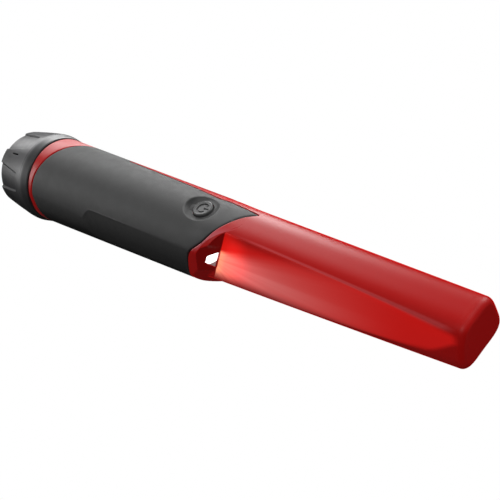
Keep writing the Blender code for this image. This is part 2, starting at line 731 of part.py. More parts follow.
def build_board_parts(materials):
    """Controller, capacitor, buzzer and switch, standing on the board."""
    top = BOARD_TOP_Z + GAP
    chip_half = 5.0 * MM
    chip_x = 77.0 * MM
    chip_height = 1.4 * MM
    chip = block(chip_x - chip_half, chip_x + chip_half, -chip_half, chip_half, top, top + chip_height)
    can_radius = 3.2 * MM
    can_foot = 2.9 * MM
    can_top = 2.8 * MM
    can_height = 7.0 * MM
    capacitor = stepped_post(66.0 * MM, -3.8 * MM,
                             [(top, can_foot), (top + 0.8 * MM, can_radius),
                              (top + can_height - 0.4 * MM, can_radius), (top + can_height, can_top)])
    buzzer_x = 56.0 * MM
    buzzer_radius = 6.0 * MM
    buzzer_side = 6.0 * MM
    buzzer_edge = 0.5 * MM
    buzzer_top = top + buzzer_side + buzzer_edge
    buzzer_levels = [(top, buzzer_radius), (top + buzzer_side, buzzer_radius),
                     (buzzer_top, buzzer_radius - buzzer_edge)]
    buzzer = make_object("buzzer", stepped_post(buzzer_x, 0.0, buzzer_levels, 28), materials["chip"])
    port_radius = 1.2 * MM
    port_floor = top + 5.0 * MM
    cut(buzzer, "buzzer_port", post(buzzer_x, 0.0, port_floor, buzzer_top + MM, port_radius, 12))
    switch_half = 3.0 * MM
    switch_height = 3.4 * MM
    switch = block(BUTTON_X - switch_half, BUTTON_X + switch_half, -switch_half, switch_half,
                   top, top + switch_height)
    switch_body = make_object("switch_body", switch, materials["chip"])
    bore_floor = top + 0.8 * MM
    cut(switch_body, "switch_bore", post(BUTTON_X, 0.0, bore_floor, top + switch_height + MM,
                                         PLUNGER_RADIUS + GAP))
    return [make_object("controller_chip", chip, materials["chip"]),
            make_object("smoothing_capacitor", capacitor, materials["capacitor"]), buzzer, switch_body]


def build_button(button_material, plunger_material):
    """The key with its captive flange, and the switch plunger it presses."""
    plunger_base = BOARD_TOP_Z + 2.0 * MM
    plunger_top = BOARD_TOP_Z + 4.9 * MM
    flange_base = BUTTON_FLANGE_TOP - MM
    edge = 0.5 * MM
    origin = (BUTTON_X, 0.0, BUTTON_TOP_Z)
    levels = [(plunger_top + GAP, BUTTON_STEM_RADIUS), (flange_base, BUTTON_STEM_RADIUS),
              (flange_base, BUTTON_FLANGE_RADIUS), (BUTTON_FLANGE_TOP, BUTTON_FLANGE_RADIUS),
              (BUTTON_FLANGE_TOP, BUTTON_RADIUS), (BUTTON_TOP_Z - edge, BUTTON_RADIUS),
              (BUTTON_TOP_Z, BUTTON_RADIUS - edge)]
    button = make_object("power_button", stepped_post(BUTTON_X, 0.0, levels, 32), button_material, origin)
    mark_floor = BUTTON_TOP_Z - 0.3 * MM
    bar_start = BUTTON_X + 0.6 * MM
    bar_end = BUTTON_X + 3.0 * MM
    bar_half = 0.25 * MM
    bar = block(bar_start, bar_end, -bar_half, bar_half, mark_floor, BUTTON_TOP_Z + MM)
    cut(button, "power_mark_bar", bar)
    cut(button, "power_mark_arc", power_arc(mark_floor, BUTTON_TOP_Z + MM))
    plunger = stepped_post(BUTTON_X, 0.0, [(plunger_base, PLUNGER_RADIUS), (plunger_top, PLUNGER_RADIUS)])
    plunger_object = make_object("switch_plunger", plunger, plunger_material, origin)
    return [button, plunger_object]


def power_arc(z0, z1):
    """Open ring of the power symbol, with its gap towards the tip."""
    inner = 1.9 * MM
    outer = 2.35 * MM
    half_gap = math.radians(38.0)
    steps = 16
    rings = []
    for i in range(steps + 1):
        angle = half_gap + (2.0 * math.pi - 2.0 * half_gap) * i / steps
        across = Vector((math.cos(angle), math.sin(angle), 0.0))
        centre = Vector((BUTTON_X, 0.0, 0.0))
        low = Vector((0.0, 0.0, z0))
        high = Vector((0.0, 0.0, z1))
        rings.append([centre + across * inner + low, centre + across * outer + low,
                      centre + across * outer + high, centre + across * inner + high])
    return loft(rings)


def build_motor(steel, brass, plastic):
    """Vibration motor below the tray: can, clip, and a shaft with its off-centre weight."""
    front_x = MOTOR_REAR_X + MOTOR_LENGTH
    axis = (0.0, MOTOR_Z)
    can_edge = 0.5 * MM
    can_profile = [(MOTOR_REAR_X, MOTOR_RADIUS - can_edge), (MOTOR_REAR_X + can_edge, MOTOR_RADIUS),
                   (front_x, MOTOR_RADIUS)]
    can = make_object("motor_can", turned(can_profile, 24, *axis), steel)
    bearing_depth = 3.0 * MM
    cut(can, "motor_bearing", disc_along_x(front_x - bearing_depth, front_x + MM, SHAFT_HOLE_RADIUS, *axis, 12))
    clip_rear_x = 53.0 * MM
    clip_front_x = 61.0 * MM
    clip_half = 5.2 * MM
    clip_drop = 2.0 * MM
    clip = block(clip_rear_x, clip_front_x, -clip_half, clip_half, MOTOR_Z - clip_drop, TRAY_BOTTOM_Z - GAP)
    clip_object = make_object("motor_clip", clip, plastic)
    cut(clip_object, "clip_bore", disc_along_x(clip_rear_x - MM, clip_front_x + MM, MOTOR_RADIUS + GAP,
                                               *axis, 24))
    origin = (front_x, 0.0, MOTOR_Z)
    shaft_inside = 2.5 * MM
    shaft_outside = 6.6 * MM
    shaft = disc_along_x(front_x - shaft_inside, front_x + shaft_outside, SHAFT_RADIUS, *axis, 12)
    shaft_object = make_object("motor_shaft", shaft, steel, origin)
    weight_start = front_x + 1.6 * MM
    weight_end = front_x + 6.0 * MM
    weight = make_object("motor_weight", half_round(weight_start, weight_end), brass, origin)
    cut(weight, "weight_bore", disc_along_x(weight_start - MM, weight_end + MM, SHAFT_HOLE_RADIUS, *axis, 12))
    return [can, clip_object, shaft_object, weight]


def half_round(x0, x1):
    """Half-disc weight with a hub that wraps the shaft."""
    weight_radius = 3.0 * MM
    hub_radius = 1.5 * MM
    outline = []
    for i in range(13):
        outline.append((weight_radius, math.pi / 2.0 + math.pi * i / 12.0))
    for i in range(1, 6):
        outline.append((hub_radius, 1.5 * math.pi + math.pi * i / 6.0))
    rings = [[around(x, angle, radius, 0.0, MOTOR_Z) for radius, angle in outline] for x in (x0, x1)]
    return loft(rings)


def light_axis():
    y = -EMITTER_DEPTH * math.sin(LIGHT_ANGLE) - LAMP_DOWN * math.cos(LIGHT_ANGLE)
    z = EMITTER_DEPTH * math.cos(LIGHT_ANGLE) - LAMP_DOWN * math.sin(LIGHT_ANGLE)
    return y, z


def build_light(clear, emitter_material, steel):
    """Window in the wall, the emitter behind it and the emitter's two leads."""
    y, z = light_axis()
    window_recess = 0.3 * MM
    window = make_object("light_window", window_form(0.0, LAMP_REAR_X, window_recess, False), clear)
    dome_x = EMITTER_REAR_X + EMITTER_LENGTH
    profile = [(EMITTER_REAR_X, EMITTER_RADIUS), (dome_x, EMITTER_RADIUS)]
    for i in range(1, 4):
        angle = math.pi / 2.0 * i / 4.0
        profile.append((dome_x + EMITTER_RADIUS * math.sin(angle), EMITTER_RADIUS * math.cos(angle)))
    emitter = make_object("light_emitter", turned(profile, 16, y, z), emitter_material)
    pieces = [window, emitter]
    lead_half = 0.25 * MM
    lead_pitch = 1.3 * MM
    lead_length = 5.7 * MM
    lead_end = EMITTER_REAR_X - GAP
    for i, side in enumerate((-0.5, 0.5)):
        lead_z = z + side * lead_pitch
        lead = block(lead_end - lead_length, lead_end, y - lead_half, y + lead_half, lead_z - lead_half,
                     lead_z + lead_half)
        pieces.append(make_object(f"light_lead_{i + 1}", lead, steel))
    return pieces


# ---- search coil ----------------------------------------------------------------------------------
def build_coil(materials):
    """Ferrite rod in its flanged former with the winding, and a foam pad that centres the tip end."""
    rear = ROD_REAR_X
    front = ROD_REAR_X + ROD_LENGTH
    axis = (ROD_Y, ROD_Z)
    rod_edge = 0.4 * MM
    rod = turned([(rear, ROD_RADIUS - rod_edge), (rear + rod_edge, ROD_RADIUS),
                  (front - rod_edge, ROD_RADIUS), (front, ROD_RADIUS - rod_edge)], 24, *axis)
    inner = ROD_RADIUS + GAP
    tube = inner + 0.9 * MM
    flange = 6.6 * MM
    flange_width = 1.5 * MM
    start = rear + 4.0 * MM
    end = front - 6.0 * MM
    former_profile = [(start, inner), (start, flange), (start + flange_width, flange),
                      (start + flange_width, tube), (end - flange_width, tube),
                      (end - flange_width, flange), (end, flange), (end, inner)]
    former = turned(former_profile, 28, *axis, closed_loop=True)
    coil_start = start + flange_width + GAP
    coil_end = end - flange_width - GAP
    coil_outer = flange - 0.4 * MM
    coil_profile = [(coil_start, tube + GAP), (coil_start, coil_outer), (coil_end, coil_outer),
                    (coil_end, tube + GAP)]
    coil = turned(coil_profile, 28, *axis, closed_loop=True)
    pad_start = front - 4.0 * MM
    pad_end = front + 5.0 * MM
    pad_outer = 5.8 * MM
    pad_hole = 1.0 * MM
    pad = turned([(pad_start, inner), (pad_start, pad_outer), (pad_end, pad_outer), (pad_end, pad_hole),
                  (front + GAP, pad_hole), (front + GAP, inner)], 24, *axis, closed_loop=True)
    pieces = [make_object("ferrite_rod", rod, materials["ferrite"]),
              make_object("coil_former", former, materials["tray"]),
              make_object("search_coil", coil, materials["copper"]),
              make_object("tip_pad", pad, materials["foam"])]
    lead_half = 0.3 * MM
    lead_rear = 113.0 * MM
    lead_z = ROD_Z + 5.3 * MM
    for i, y in enumerate((ROD_Y - 2.0 * MM, ROD_Y + 2.0 * MM)):
        lead = block(lead_rear, start - GAP, y - lead_half, y + lead_half, lead_z - lead_half,
                     lead_z + lead_half)
        pieces.append(make_object(f"coil_lead_{i + 1}", lead, materials["copper"]))
    return pieces


# ---- assembly -------------------------------------------------------------------------------------
def make_materials():
    return {
        "housing": make_material("housing_red", (0.45, 0.012, 0.012), 0.32),
        "grip": make_material("grip_rubber", (0.055, 0.055, 0.055), 0.62),
        "cap": make_material("cap_plastic", (0.06, 0.06, 0.062), 0.42),
        "button": make_material("button_rubber", (0.06, 0.06, 0.06), 0.5),
        "seal": make_material("seal_rubber", (0.02, 0.02, 0.02), 0.6),
        "clear": make_material("clear_window", (0.95, 0.95, 0.95), 0.08),
        "emitter": make_material("emitter_resin", (0.95, 0.93, 0.85), 0.2),
        "tray": make_material("tray_plastic", (0.25, 0.25, 0.26), 0.5),
        "chip": make_material("chip_plastic", (0.02, 0.02, 0.022), 0.45),
        "board": make_material("board_laminate", (0.02, 0.16, 0.06), 0.4),
        "capacitor": make_material("capacitor_sleeve", (0.02, 0.05, 0.2), 0.35),
        "steel": make_material("bright_steel", (0.6, 0.6, 0.6), 0.3, 1.0),
        "brass": make_material("brass", (0.7, 0.5, 0.2), 0.3, 1.0),
        "copper": make_material("enamelled_copper", (0.6, 0.22, 0.08), 0.35, 1.0),
        "ferrite": make_material("ferrite_ceramic", (0.06, 0.06, 0.065), 0.55),
        "foam": make_material("foam_pad", (0.08, 0.08, 0.09), 0.9),
        "wrap": make_material("battery_wrap", (0.05, 0.06, 0.09), 0.35),
    }


def move_to_frame():
    """Put the frame's origin at the centre of the cap's rear face; children follow their parents."""
    for obj in bpy.data.objects:
        if obj.parent is None:
            obj.location.x += CAP_LENGTH


def hang_on_joint(name, origin, pieces):
    """An empty on the joint's axis, with the moving pieces as its children."""
    joint = bpy.data.objects.new(name, None)
    joint.location = origin
    bpy.context.scene.collection.objects.link(joint)
    bpy.context.view_layer.update()
    for piece in pieces:
        piece.parent = joint
        piece.matrix_parent_inverse = joint.matrix_world.inverted()


def build():
    clear_scene()
    materials = make_materials()
    build_housing(materials["housing"])
    build_neck_seal(materials["seal"])
    build_sleeve(materials["grip"])
    build_battery(materials["wrap"], materials["steel"])
    build_contacts(materials["tray"], materials["brass"])
    build_board(materials["board"])
    build_tray(materials["tray"])
    build_screws(materials["steel"])
    build_board_parts(materials)
    build_light(materials["clear"], materials["emitter"], materials["steel"])
    build_coil(materials)
    cap = build_cap(materials["cap"])
    hang_on_joint("cap_axis", (0.0, 0.0, 0.0), [cap])
    hang_on_joint("cap_travel_axis", (0.0, 0.0, 0.0),
                  build_pressure_plate(materials["tray"], materials["foam"]))
    button, plunger = build_button(materials["button"], materials["chip"])
    hang_on_joint("button_axis", (BUTTON_X, 0.0, BUTTON_TOP_Z), [button])
    hang_on_joint("plunger_axis", (BUTTON_X, 0.0, BUTTON_TOP_Z), [plunger])
    _, _, shaft, weight = build_motor(materials["steel"], materials["brass"], materials["tray"])
    hang_on_joint("motor_axis", (MOTOR_REAR_X + MOTOR_LENGTH, 0.0, MOTOR_Z), [shaft, weight])
    move_to_frame()


build()
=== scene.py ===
"""Looks for the pinpointer probe: fine surfaces, materials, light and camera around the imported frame.

Shapes are worked out in millimetres, with X measured from the seam between cap and housing. Angles
around the probe are measured from +Z towards -Y, the side of the lamp.
"""
import json
import math

import bmesh
import bpy
import numpy as np
from mathutils import Matrix, Vector


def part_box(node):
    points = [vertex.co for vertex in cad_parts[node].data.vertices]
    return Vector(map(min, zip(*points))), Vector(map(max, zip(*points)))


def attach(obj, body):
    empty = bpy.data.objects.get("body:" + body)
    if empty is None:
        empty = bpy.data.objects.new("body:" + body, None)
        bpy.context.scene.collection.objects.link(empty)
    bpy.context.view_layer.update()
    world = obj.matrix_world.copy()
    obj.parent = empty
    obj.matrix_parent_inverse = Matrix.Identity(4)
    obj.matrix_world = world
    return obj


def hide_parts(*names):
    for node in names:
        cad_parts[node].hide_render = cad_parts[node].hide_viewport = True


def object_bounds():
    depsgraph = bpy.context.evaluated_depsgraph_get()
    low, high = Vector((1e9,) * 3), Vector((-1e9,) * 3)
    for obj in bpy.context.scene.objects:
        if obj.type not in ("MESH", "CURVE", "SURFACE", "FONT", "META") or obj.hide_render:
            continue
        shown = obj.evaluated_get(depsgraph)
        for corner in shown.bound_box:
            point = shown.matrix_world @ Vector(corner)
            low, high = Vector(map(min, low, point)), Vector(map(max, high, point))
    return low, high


MM = 0.001

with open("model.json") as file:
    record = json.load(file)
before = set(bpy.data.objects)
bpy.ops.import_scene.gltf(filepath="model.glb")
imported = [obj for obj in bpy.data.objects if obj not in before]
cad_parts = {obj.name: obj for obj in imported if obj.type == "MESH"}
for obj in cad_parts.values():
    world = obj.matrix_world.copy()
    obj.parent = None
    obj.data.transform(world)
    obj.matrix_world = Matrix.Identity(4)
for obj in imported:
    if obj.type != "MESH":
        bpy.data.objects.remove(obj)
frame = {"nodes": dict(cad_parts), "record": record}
cad_low, cad_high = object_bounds()
cap_low, cap_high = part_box("end_cap")
housing_low, housing_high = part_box("probe_housing")
button_low, button_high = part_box("power_button")

# ---- sizes, in mm -------------------------------------------------------------------------------
CAP_FRONT = -0.4  # the cap stops just behind the seam
SEAM = cap_high.x / MM - CAP_FRONT  # where the seam is in the frame
CAP_REAR = cap_low.x / MM - SEAM
PROBE_LENGTH = housing_high.x / MM - SEAM
NECK_END = housing_low.x / MM - SEAM
BUTTON_X = (button_low.x + button_high.x) / 2.0 / MM - SEAM
BUTTON_TOP = button_high.z / MM
CAP_BELT_RADIUS = (cap_high.z - cap_low.z) / 2.0 / MM
GRIP_LENGTH = 98.0
PROBE_START = 96.0
FAIRING_LENGTH = 26.0

# Cross-sections are rounded keystones: half width, top, bottom, tilt, squareness
SEAM_SECTION = (19.1, 19.1, 19.1, 0.0, 2.0)
GRIP_SECTION = (17.2, 14.3, 17.9, 0.07, 2.1)
SHANK_SECTION = (14.3, 14.4, 14.3, 0.07, 2.8)
TIP_SECTION = (11.35, 8.45, 10.0, 0.17, 3.65)
TIP_EDGE = 2.4

# Light side: channel floor and the slanted wall with the lamp
LIGHT_ANGLE = math.radians(72.0)
FORWARD = (1.0, 0.0, 0.0)  # towards the tip
UPWARD = (0.0, 0.0, 1.0)
OUTWARD = (0.0, -math.sin(LIGHT_ANGLE), math.cos(LIGHT_ANGLE))  # straight out of the channel floor
DOWNWARD = (0.0, -math.cos(LIGHT_ANGLE), -math.sin(LIGHT_ANGLE))  # across the floor, away from the button
FLOOR_DEPTH = 10.3
FLOOR_RISE = 0.005
FLOOR_FROM = 110.0
CHANNEL_END = 213.5
WALL_FOOT = 110.2  # where the wall meets the floor's middle line
WALL_SLOPE = 1.41
WALL_UPPER_SLOPE = 0.85
WALL_SKEW = 0.4
WALL_CURL = 0.85  # extra slant below the lamp
WALL_CURL_FROM = 8.0
WALL_X = WALL_FOOT + WALL_SLOPE * FLOOR_DEPTH
LAMP_DOWN = 3.0
LAMP_DEPTH = FLOOR_DEPTH + 0.1
LAMP_HEIGHT = 2.3
LAMP_HALF_WIDTH = 3.5
LAMP_LEAN = 2.0
LAMP_SQUARENESS = 1.25

# Rubber sleeve, with its front edge as (degrees, X), and the finger flat
SLEEVE_THICKNESS = 1.5
SLEEVE_LIP = 0.9
SLEEVE_GAP = 0.3
SLEEVE_ARC = 17.0  # mean radius used to unroll the grip
SLEEVE_REAR = 10.6
SLEEVE_REAR_SLANT = 8.3
SLEEVE_FRONT = ((-100, 100), (-92, 88), (-80, 74), (-70, 62), (-60, 50), (-53, 42), (-48, 39),
                (-45, 43), (-42, 62), (-39, 84), (-33.8, 99), (-29.8, 113), (-26.5, 120.4), (-21, 119),
                (-12, 116.5), (0, 114), (16, 111.5), (34, 108.5), (50, 105.5), (60, 102.6), (72, 99.2),
                (84, 97.3), (97, 96.2), (114, 95.4), (150, 95.6), (260, 100))
FLAT_START = 36.0
FLAT_RUN_OUT = 6.0
FLAT_DEPTH = 1.4
FLAT_LEAN = 0.14
FLAT_LIP = 0.16
FLAT_INSET_SEAM = 17.6
FLAT_INSET_GRIP = 15.75

NECK_RADIUS = 16.6
BORE_RADIUS = 14.8
BORE_Z = -0.5
BATTERY_BAY_END = 38.0
THREAD_PITCH = 3.0
THREAD_HEIGHT = 0.8
BUTTON_RADIUS = 4.15
DISH_CENTRE = BUTTON_X - 0.3
SHARP_ANGLE = math.radians(35.0)
BLACK = (0.0, 0.0, 0.0)


# ---- geometry on whole arrays -------------------------------------------------------------------
def smooth_min(a, b, k):
    share = np.clip(0.5 + 0.5 * (b - a) / k, 0.0, 1.0)
    return b + (a - b) * share - k * share * (1.0 - share)


def smooth_max(a, b, k):
    return -smooth_min(-a, -b, k)


def smooth_step(low, high, value):
    share = np.clip((value - low) / (high - low), 0.0, 1.0)
    return share * share * (3.0 - 2.0 * share)


def keystone_radius(section, angle):
    """Distance from the axis to a keystone's outline, by bisection on whole arrays."""
    half_width, top, bottom, tilt, power = section
    middle = (top - bottom) / 2.0
    half_height = (top + bottom) / 2.0
    low = np.zeros(np.shape(angle))
    high = np.full(np.shape(angle), 60.0)
    sine = np.abs(np.sin(angle))
    cosine = np.cos(angle)
    for _ in range(32):
        radius = (low + high) / 2.0
        z = radius * cosine - middle
        width = half_width - tilt * z
        inside = (radius * sine / width) ** power + (np.abs(z) / half_height) ** power < 1.0
        low = np.where(inside, radius, low)
        high = np.where(inside, high, radius)
    return (low + high) / 2.0


def blend(first, second, amount):
    return [a + (b - a) * amount for a, b in zip(first, second)]


def inset(section, distance):
    return [section[0] - distance, section[1] - distance, section[2] - distance, section[3], section[4]]


def shank_section(x):
    """The probe's section, which tapers to the tip."""
    return blend(SHANK_SECTION, TIP_SECTION, (x - PROBE_START) / (PROBE_LENGTH - PROBE_START))


def shank_radius(x, angle, distance=0.0):
    """The probe's surface, or one this distance inside it."""
    return keystone_radius(inset(shank_section(x), distance), angle)


def grip_radius(x, angle):
    """The grip with its finger flat, fairing down to the probe in front of the step."""
    end = inset(shank_section(GRIP_LENGTH + FAIRING_LENGTH), 1.4)
    rear = blend(SEAM_SECTION, GRIP_SECTION, np.clip(x / GRIP_LENGTH, 0.0, 1.0))
    share = np.clip((x - GRIP_LENGTH) / FAIRING_LENGTH, 0.0, 1.6)
    section = [a + (b - c) * share for a, b, c in zip(rear, end, GRIP_SECTION)]
    radius = keystone_radius(section, angle)
    flat_inset = FLAT_INSET_SEAM + (FLAT_INSET_GRIP - FLAT_INSET_SEAM) * x / GRIP_LENGTH
    sunk = smooth_step(FLAT_START - 1.0, FLAT_START + FLAT_RUN_OUT, x)
    across = np.maximum(np.sin(angle) + FLAT_LEAN * np.cos(angle), 0.3)
    flat = (flat_inset + FLAT_DEPTH * (1.0 - sunk)) / across
    lip = FLAT_LIP * np.exp(-((radius - flat) / 0.17) ** 2) * (np.cos(angle) > 0.0)
    lip = lip * smooth_step(FLAT_START - 3.0, FLAT_START + 1.0, x) * (1.0 - smooth_step(44.0, 92.0, x))
    return smooth_min(radius, flat, 0.35) + lip


def floor_radius(x, angle, sink=0.0):
    """The channel's flat floor, or one sunk below it."""
    facing = np.maximum(np.cos(angle - LIGHT_ANGLE), 0.05)
    return (FLOOR_DEPTH + FLOOR_RISE * (x - FLOOR_FROM) - sink) / facing


def wall_radius(x, angle):
    """The lamp's wall: a plane that stands up more steeply above the lamp and curls back below it."""
    turn = angle - LIGHT_ANGLE
    out = np.cos(turn)
    down = np.sin(turn)
    upper = 1.0 - smooth_step(math.radians(-20.0), math.radians(-8.0), turn)
    slope = WALL_SLOPE + (WALL_UPPER_SLOPE - WALL_SLOPE) * upper
    level = WALL_FOOT + slope * FLOOR_DEPTH - x
    plain = level / np.maximum(slope * out + WALL_SKEW * down, 0.05)
    curl_slant = np.maximum(slope * out + (WALL_SKEW + WALL_CURL) * down, 0.05)
    curled = (level + WALL_CURL * WALL_CURL_FROM) / curl_slant
    return np.minimum(plain, np.where(down > 0.0, curled, plain))


def envelope_radius(x, angle):
    """Outermost of grip and probe, which the sleeve follows."""
    behind = np.maximum(PROBE_START + 10.0 - x, 0.0)
    shank = shank_radius(np.maximum(x, PROBE_START), angle) - 0.02 * behind ** 2
    return smooth_max(grip_radius(x, angle), shank, 0.4 + np.abs(np.sin(angle)))


def shell_radius(x, angle):
    """The red housing's surface, with the channel, its ridge and the lamp wall."""
    envelope = envelope_radius(x, angle)
    grip = smooth_min(envelope, wall_radius(x, angle), 0.3)
    softer = 1.2 - 0.7 * smooth_step(math.radians(58.0), math.radians(80.0), angle)
    ridge = 0.35 + softer * smooth_step(140.0, PROBE_LENGTH, x)
    shank = smooth_min(shank_radius(x, angle), floor_radius(x, angle), ridge)
    shank = np.where(x > PROBE_START, shank, 0.0)
    fillet = 0.02 + 0.38 * smooth_step(0.5, 0.8, np.cos(angle - LIGHT_ANGLE))
    trimmed = smooth_step(0.02, 0.4, envelope - grip)
    return grip + (smooth_max(grip, shank, fillet) - grip) * trimmed


def through_points(knots, at):
    """A smooth curve through points that doesn't overshoot them (monotone cubic)."""
    xs, ys = np.array(knots, float).T
    secant = np.diff(ys) / np.diff(xs)
    inner = np.where(secant[:-1] * secant[1:] > 0.0,
                     2.0 * secant[:-1] * secant[1:] / (secant[:-1] + secant[1:] + 1e-12), 0.0)
    slope = np.concatenate(([secant[0]], inner, [secant[-1]]))
    i = np.clip(np.searchsorted(xs, at) - 1, 0, len(xs) - 2)
    width = xs[i + 1] - xs[i]
    t = (at - xs[i]) / width
    return ((2 * t ** 3 - 3 * t ** 2 + 1) * ys[i] + (t ** 3 - 2 * t ** 2 + t) * width * slope[i]
            + (3 * t ** 2 - 2 * t ** 3) * ys[i + 1] + (t ** 3 - t ** 2) * width * slope[i + 1])


FINE_DEGREES = np.linspace(-100.0, 260.0, 2881)
FINE_FRONT = through_points(SLEEVE_FRONT, FINE_DEGREES)
DEGREE_ARC = math.radians(1.0) * SLEEVE_ARC


def sleeve_front(degrees):
    """X of the front edge."""
    return np.interp(degrees, FINE_DEGREES, FINE_FRONT)


def sleeve_front_grown(degrees, grow):
    """The front edge moved outwards by a distance measured on the surface."""
    along = FINE_DEGREES * DEGREE_ARC
    step = np.hypot(np.gradient(along), np.gradient(FINE_FRONT))
    moved_along = along - grow * np.gradient(FINE_FRONT) / step
    moved_front = FINE_FRONT + grow * np.gradient(along) / step
    order = np.maximum.accumulate(moved_along)
    return np.interp(degrees * DEGREE_ARC, order, moved_front)


def sleeve_rear(degrees):
    """The rear edge, slanted so that most of the red collar shows on the far side."""
    return SLEEVE_REAR + SLEEVE_REAR_SLANT * np.cos(np.radians(degrees + 110.0))


def edge_distance(degrees, x):
    """Distance on the unrolled grip to the sleeve's front edge."""
    edge_along = (FINE_DEGREES * DEGREE_ARC)[::2]
    edge_x = FINE_FRONT[::2]
    found = np.empty(x.size)
    flat_along = (degrees * DEGREE_ARC).ravel()
    flat_x = x.ravel()
    for start in range(0, x.size, 4096):
        part = slice(start, start + 4096)
        gaps = np.hypot(flat_along[part, None] - edge_along, flat_x[part, None] - edge_x)
        found[part] = gaps.min(axis=1)
    return found.reshape(x.shape)


def columns(*spans):
    """Angles in degrees, once round the probe: spans of (start, end, step)."""
    parts = [np.arange(start, end - step / 2.0, step) for start, end, step in spans]
    return np.concatenate(parts)


def around(x, angle, radius):
    """Points at these X, angles and radii round the axis."""
    return np.stack([x, -radius * np.sin(angle), radius * np.cos(angle)], axis=-1)


def row_adder(angle):
    """An empty list of rows, and a function that adds the row at an X and a radius."""
    ones = np.ones(len(angle))
    rows = []

    def add(x, radius):
        rows.append(around(x * ones, angle, radius * ones))

    return rows, add


# ---- mesh helpers -------------------------------------------------------------------------------
def grid_faces(rows, count):
    """Quads over rows of points that close on themselves."""
    index = np.arange(rows * count).reshape(rows, count)
    beside = np.roll(index, -1, axis=1)
    quads = np.stack([index[:-1], beside[:-1], beside[1:], index[1:]], axis=-1)
    return quads.reshape(-1, 4).tolist()


def make_piece(name, points, faces, material):
    """A piece from points in mm measured from the seam."""
    places = np.array(points, float)
    places[:, 0] += SEAM
    mesh = bpy.data.meshes.new(name)
    mesh.from_pydata((places * MM).tolist(), [], faces)
    bm = bmesh.new()
    bm.from_mesh(mesh)
    bmesh.ops.recalc_face_normals(bm, faces=bm.faces)
    bm.to_mesh(mesh)
    bm.free()
    mesh.shade_smooth()
    mesh.set_sharp_from_angle(angle=SHARP_ANGLE)
    piece = bpy.data.objects.new(name, mesh)
    bpy.context.scene.collection.objects.link(piece)
    if material is not None:
        mesh.materials.append(material)
    return piece


def lathe_piece(name, rows, material, closed=False):
    """Skin rows of points; open ends are closed with a fan about their centre."""
    points = np.concatenate(rows)
    count = len(rows[0])
    faces = grid_faces(len(rows), count)
    if closed:
        last = (len(rows) - 1) * count
        for i in range(count):
            j = (i + 1) % count
            faces.append([last + i, last + j, j, i])
    else:
        centres = [rows[0].mean(axis=0), rows[-1].mean(axis=0)]
        for centre, start in zip(centres, (0, (len(rows) - 1) * count)):
            middle = len(points)
            points = np.vstack([points, centre])
            for i in range(count):
                faces.append([start + i, start + (i + 1) % count, middle])
    return make_piece(name, points, faces, material)


def cut_away(piece, cutter):
    """Boolean difference, applied; the cutter goes."""
    modifier = piece.modifiers.new("cut", 'BOOLEAN')
    modifier.operation = 'DIFFERENCE'
    modifier.solver = 'MANIFOLD'
    modifier.object = cutter
    bpy.context.view_layer.update()
    result = bpy.data.meshes.new_from_object(piece.evaluated_get(bpy.context.evaluated_depsgraph_get()))
    piece.modifiers.remove(modifier)
    result.name = piece.name
    piece.data = result
    bpy.data.objects.remove(cutter)
    result.shade_smooth()
    result.set_sharp_from_angle(angle=SHARP_ANGLE)


def upright_cutter(radius, low, high):
    """A round bar along Z through the button's place."""
    turn = np.linspace(0.0, 2.0 * math.pi, 96, endpoint=False)
    rows = []
    for z in (low, high):
        rows.append(np.stack([BUTTON_X + radius * np.cos(turn), radius * np.sin(turn),
                              np.full(96, z)], axis=-1))
    return lathe_piece("button_cutter", rows, None)


# ---- housing ------------------------------------------------------------------------------------
def bay_radius(x, angle):
    """Inner wall of the housing: battery bore, electronics bay and the hollow shank."""
    bore = BORE_Z * np.cos(angle) + np.sqrt(BORE_RADIUS ** 2 - (BORE_Z * np.sin(angle)) ** 2)
    if x <= BATTERY_BAY_END:
        return bore
    here = np.full(angle.shape, x)
    bay = np.minimum(envelope_radius(here, angle) - 3.3, bore)
    if x > PROBE_START:
        bay = np.minimum(bay, shank_radius(here, angle, 2.0))
        bay = np.minimum(bay, floor_radius(here, angle, 2.0))
    return bay


def thread_lift(x, angle, start, turns):
    """Height of a single-start ridge, as a share, on a neck unrolled by angle."""
    turn = (x - start) / THREAD_PITCH
    nearest = np.round(turn - angle / (2.0 * math.pi)) + angle / (2.0 * math.pi)
    away = np.abs(turn - nearest) * THREAD_PITCH
    ridge = 1.0 - smooth_step(0.2, 0.55, away)
    return ridge * smooth_step(0.0, 0.2, nearest) * smooth_step(0.0, 0.2, turns - nearest)


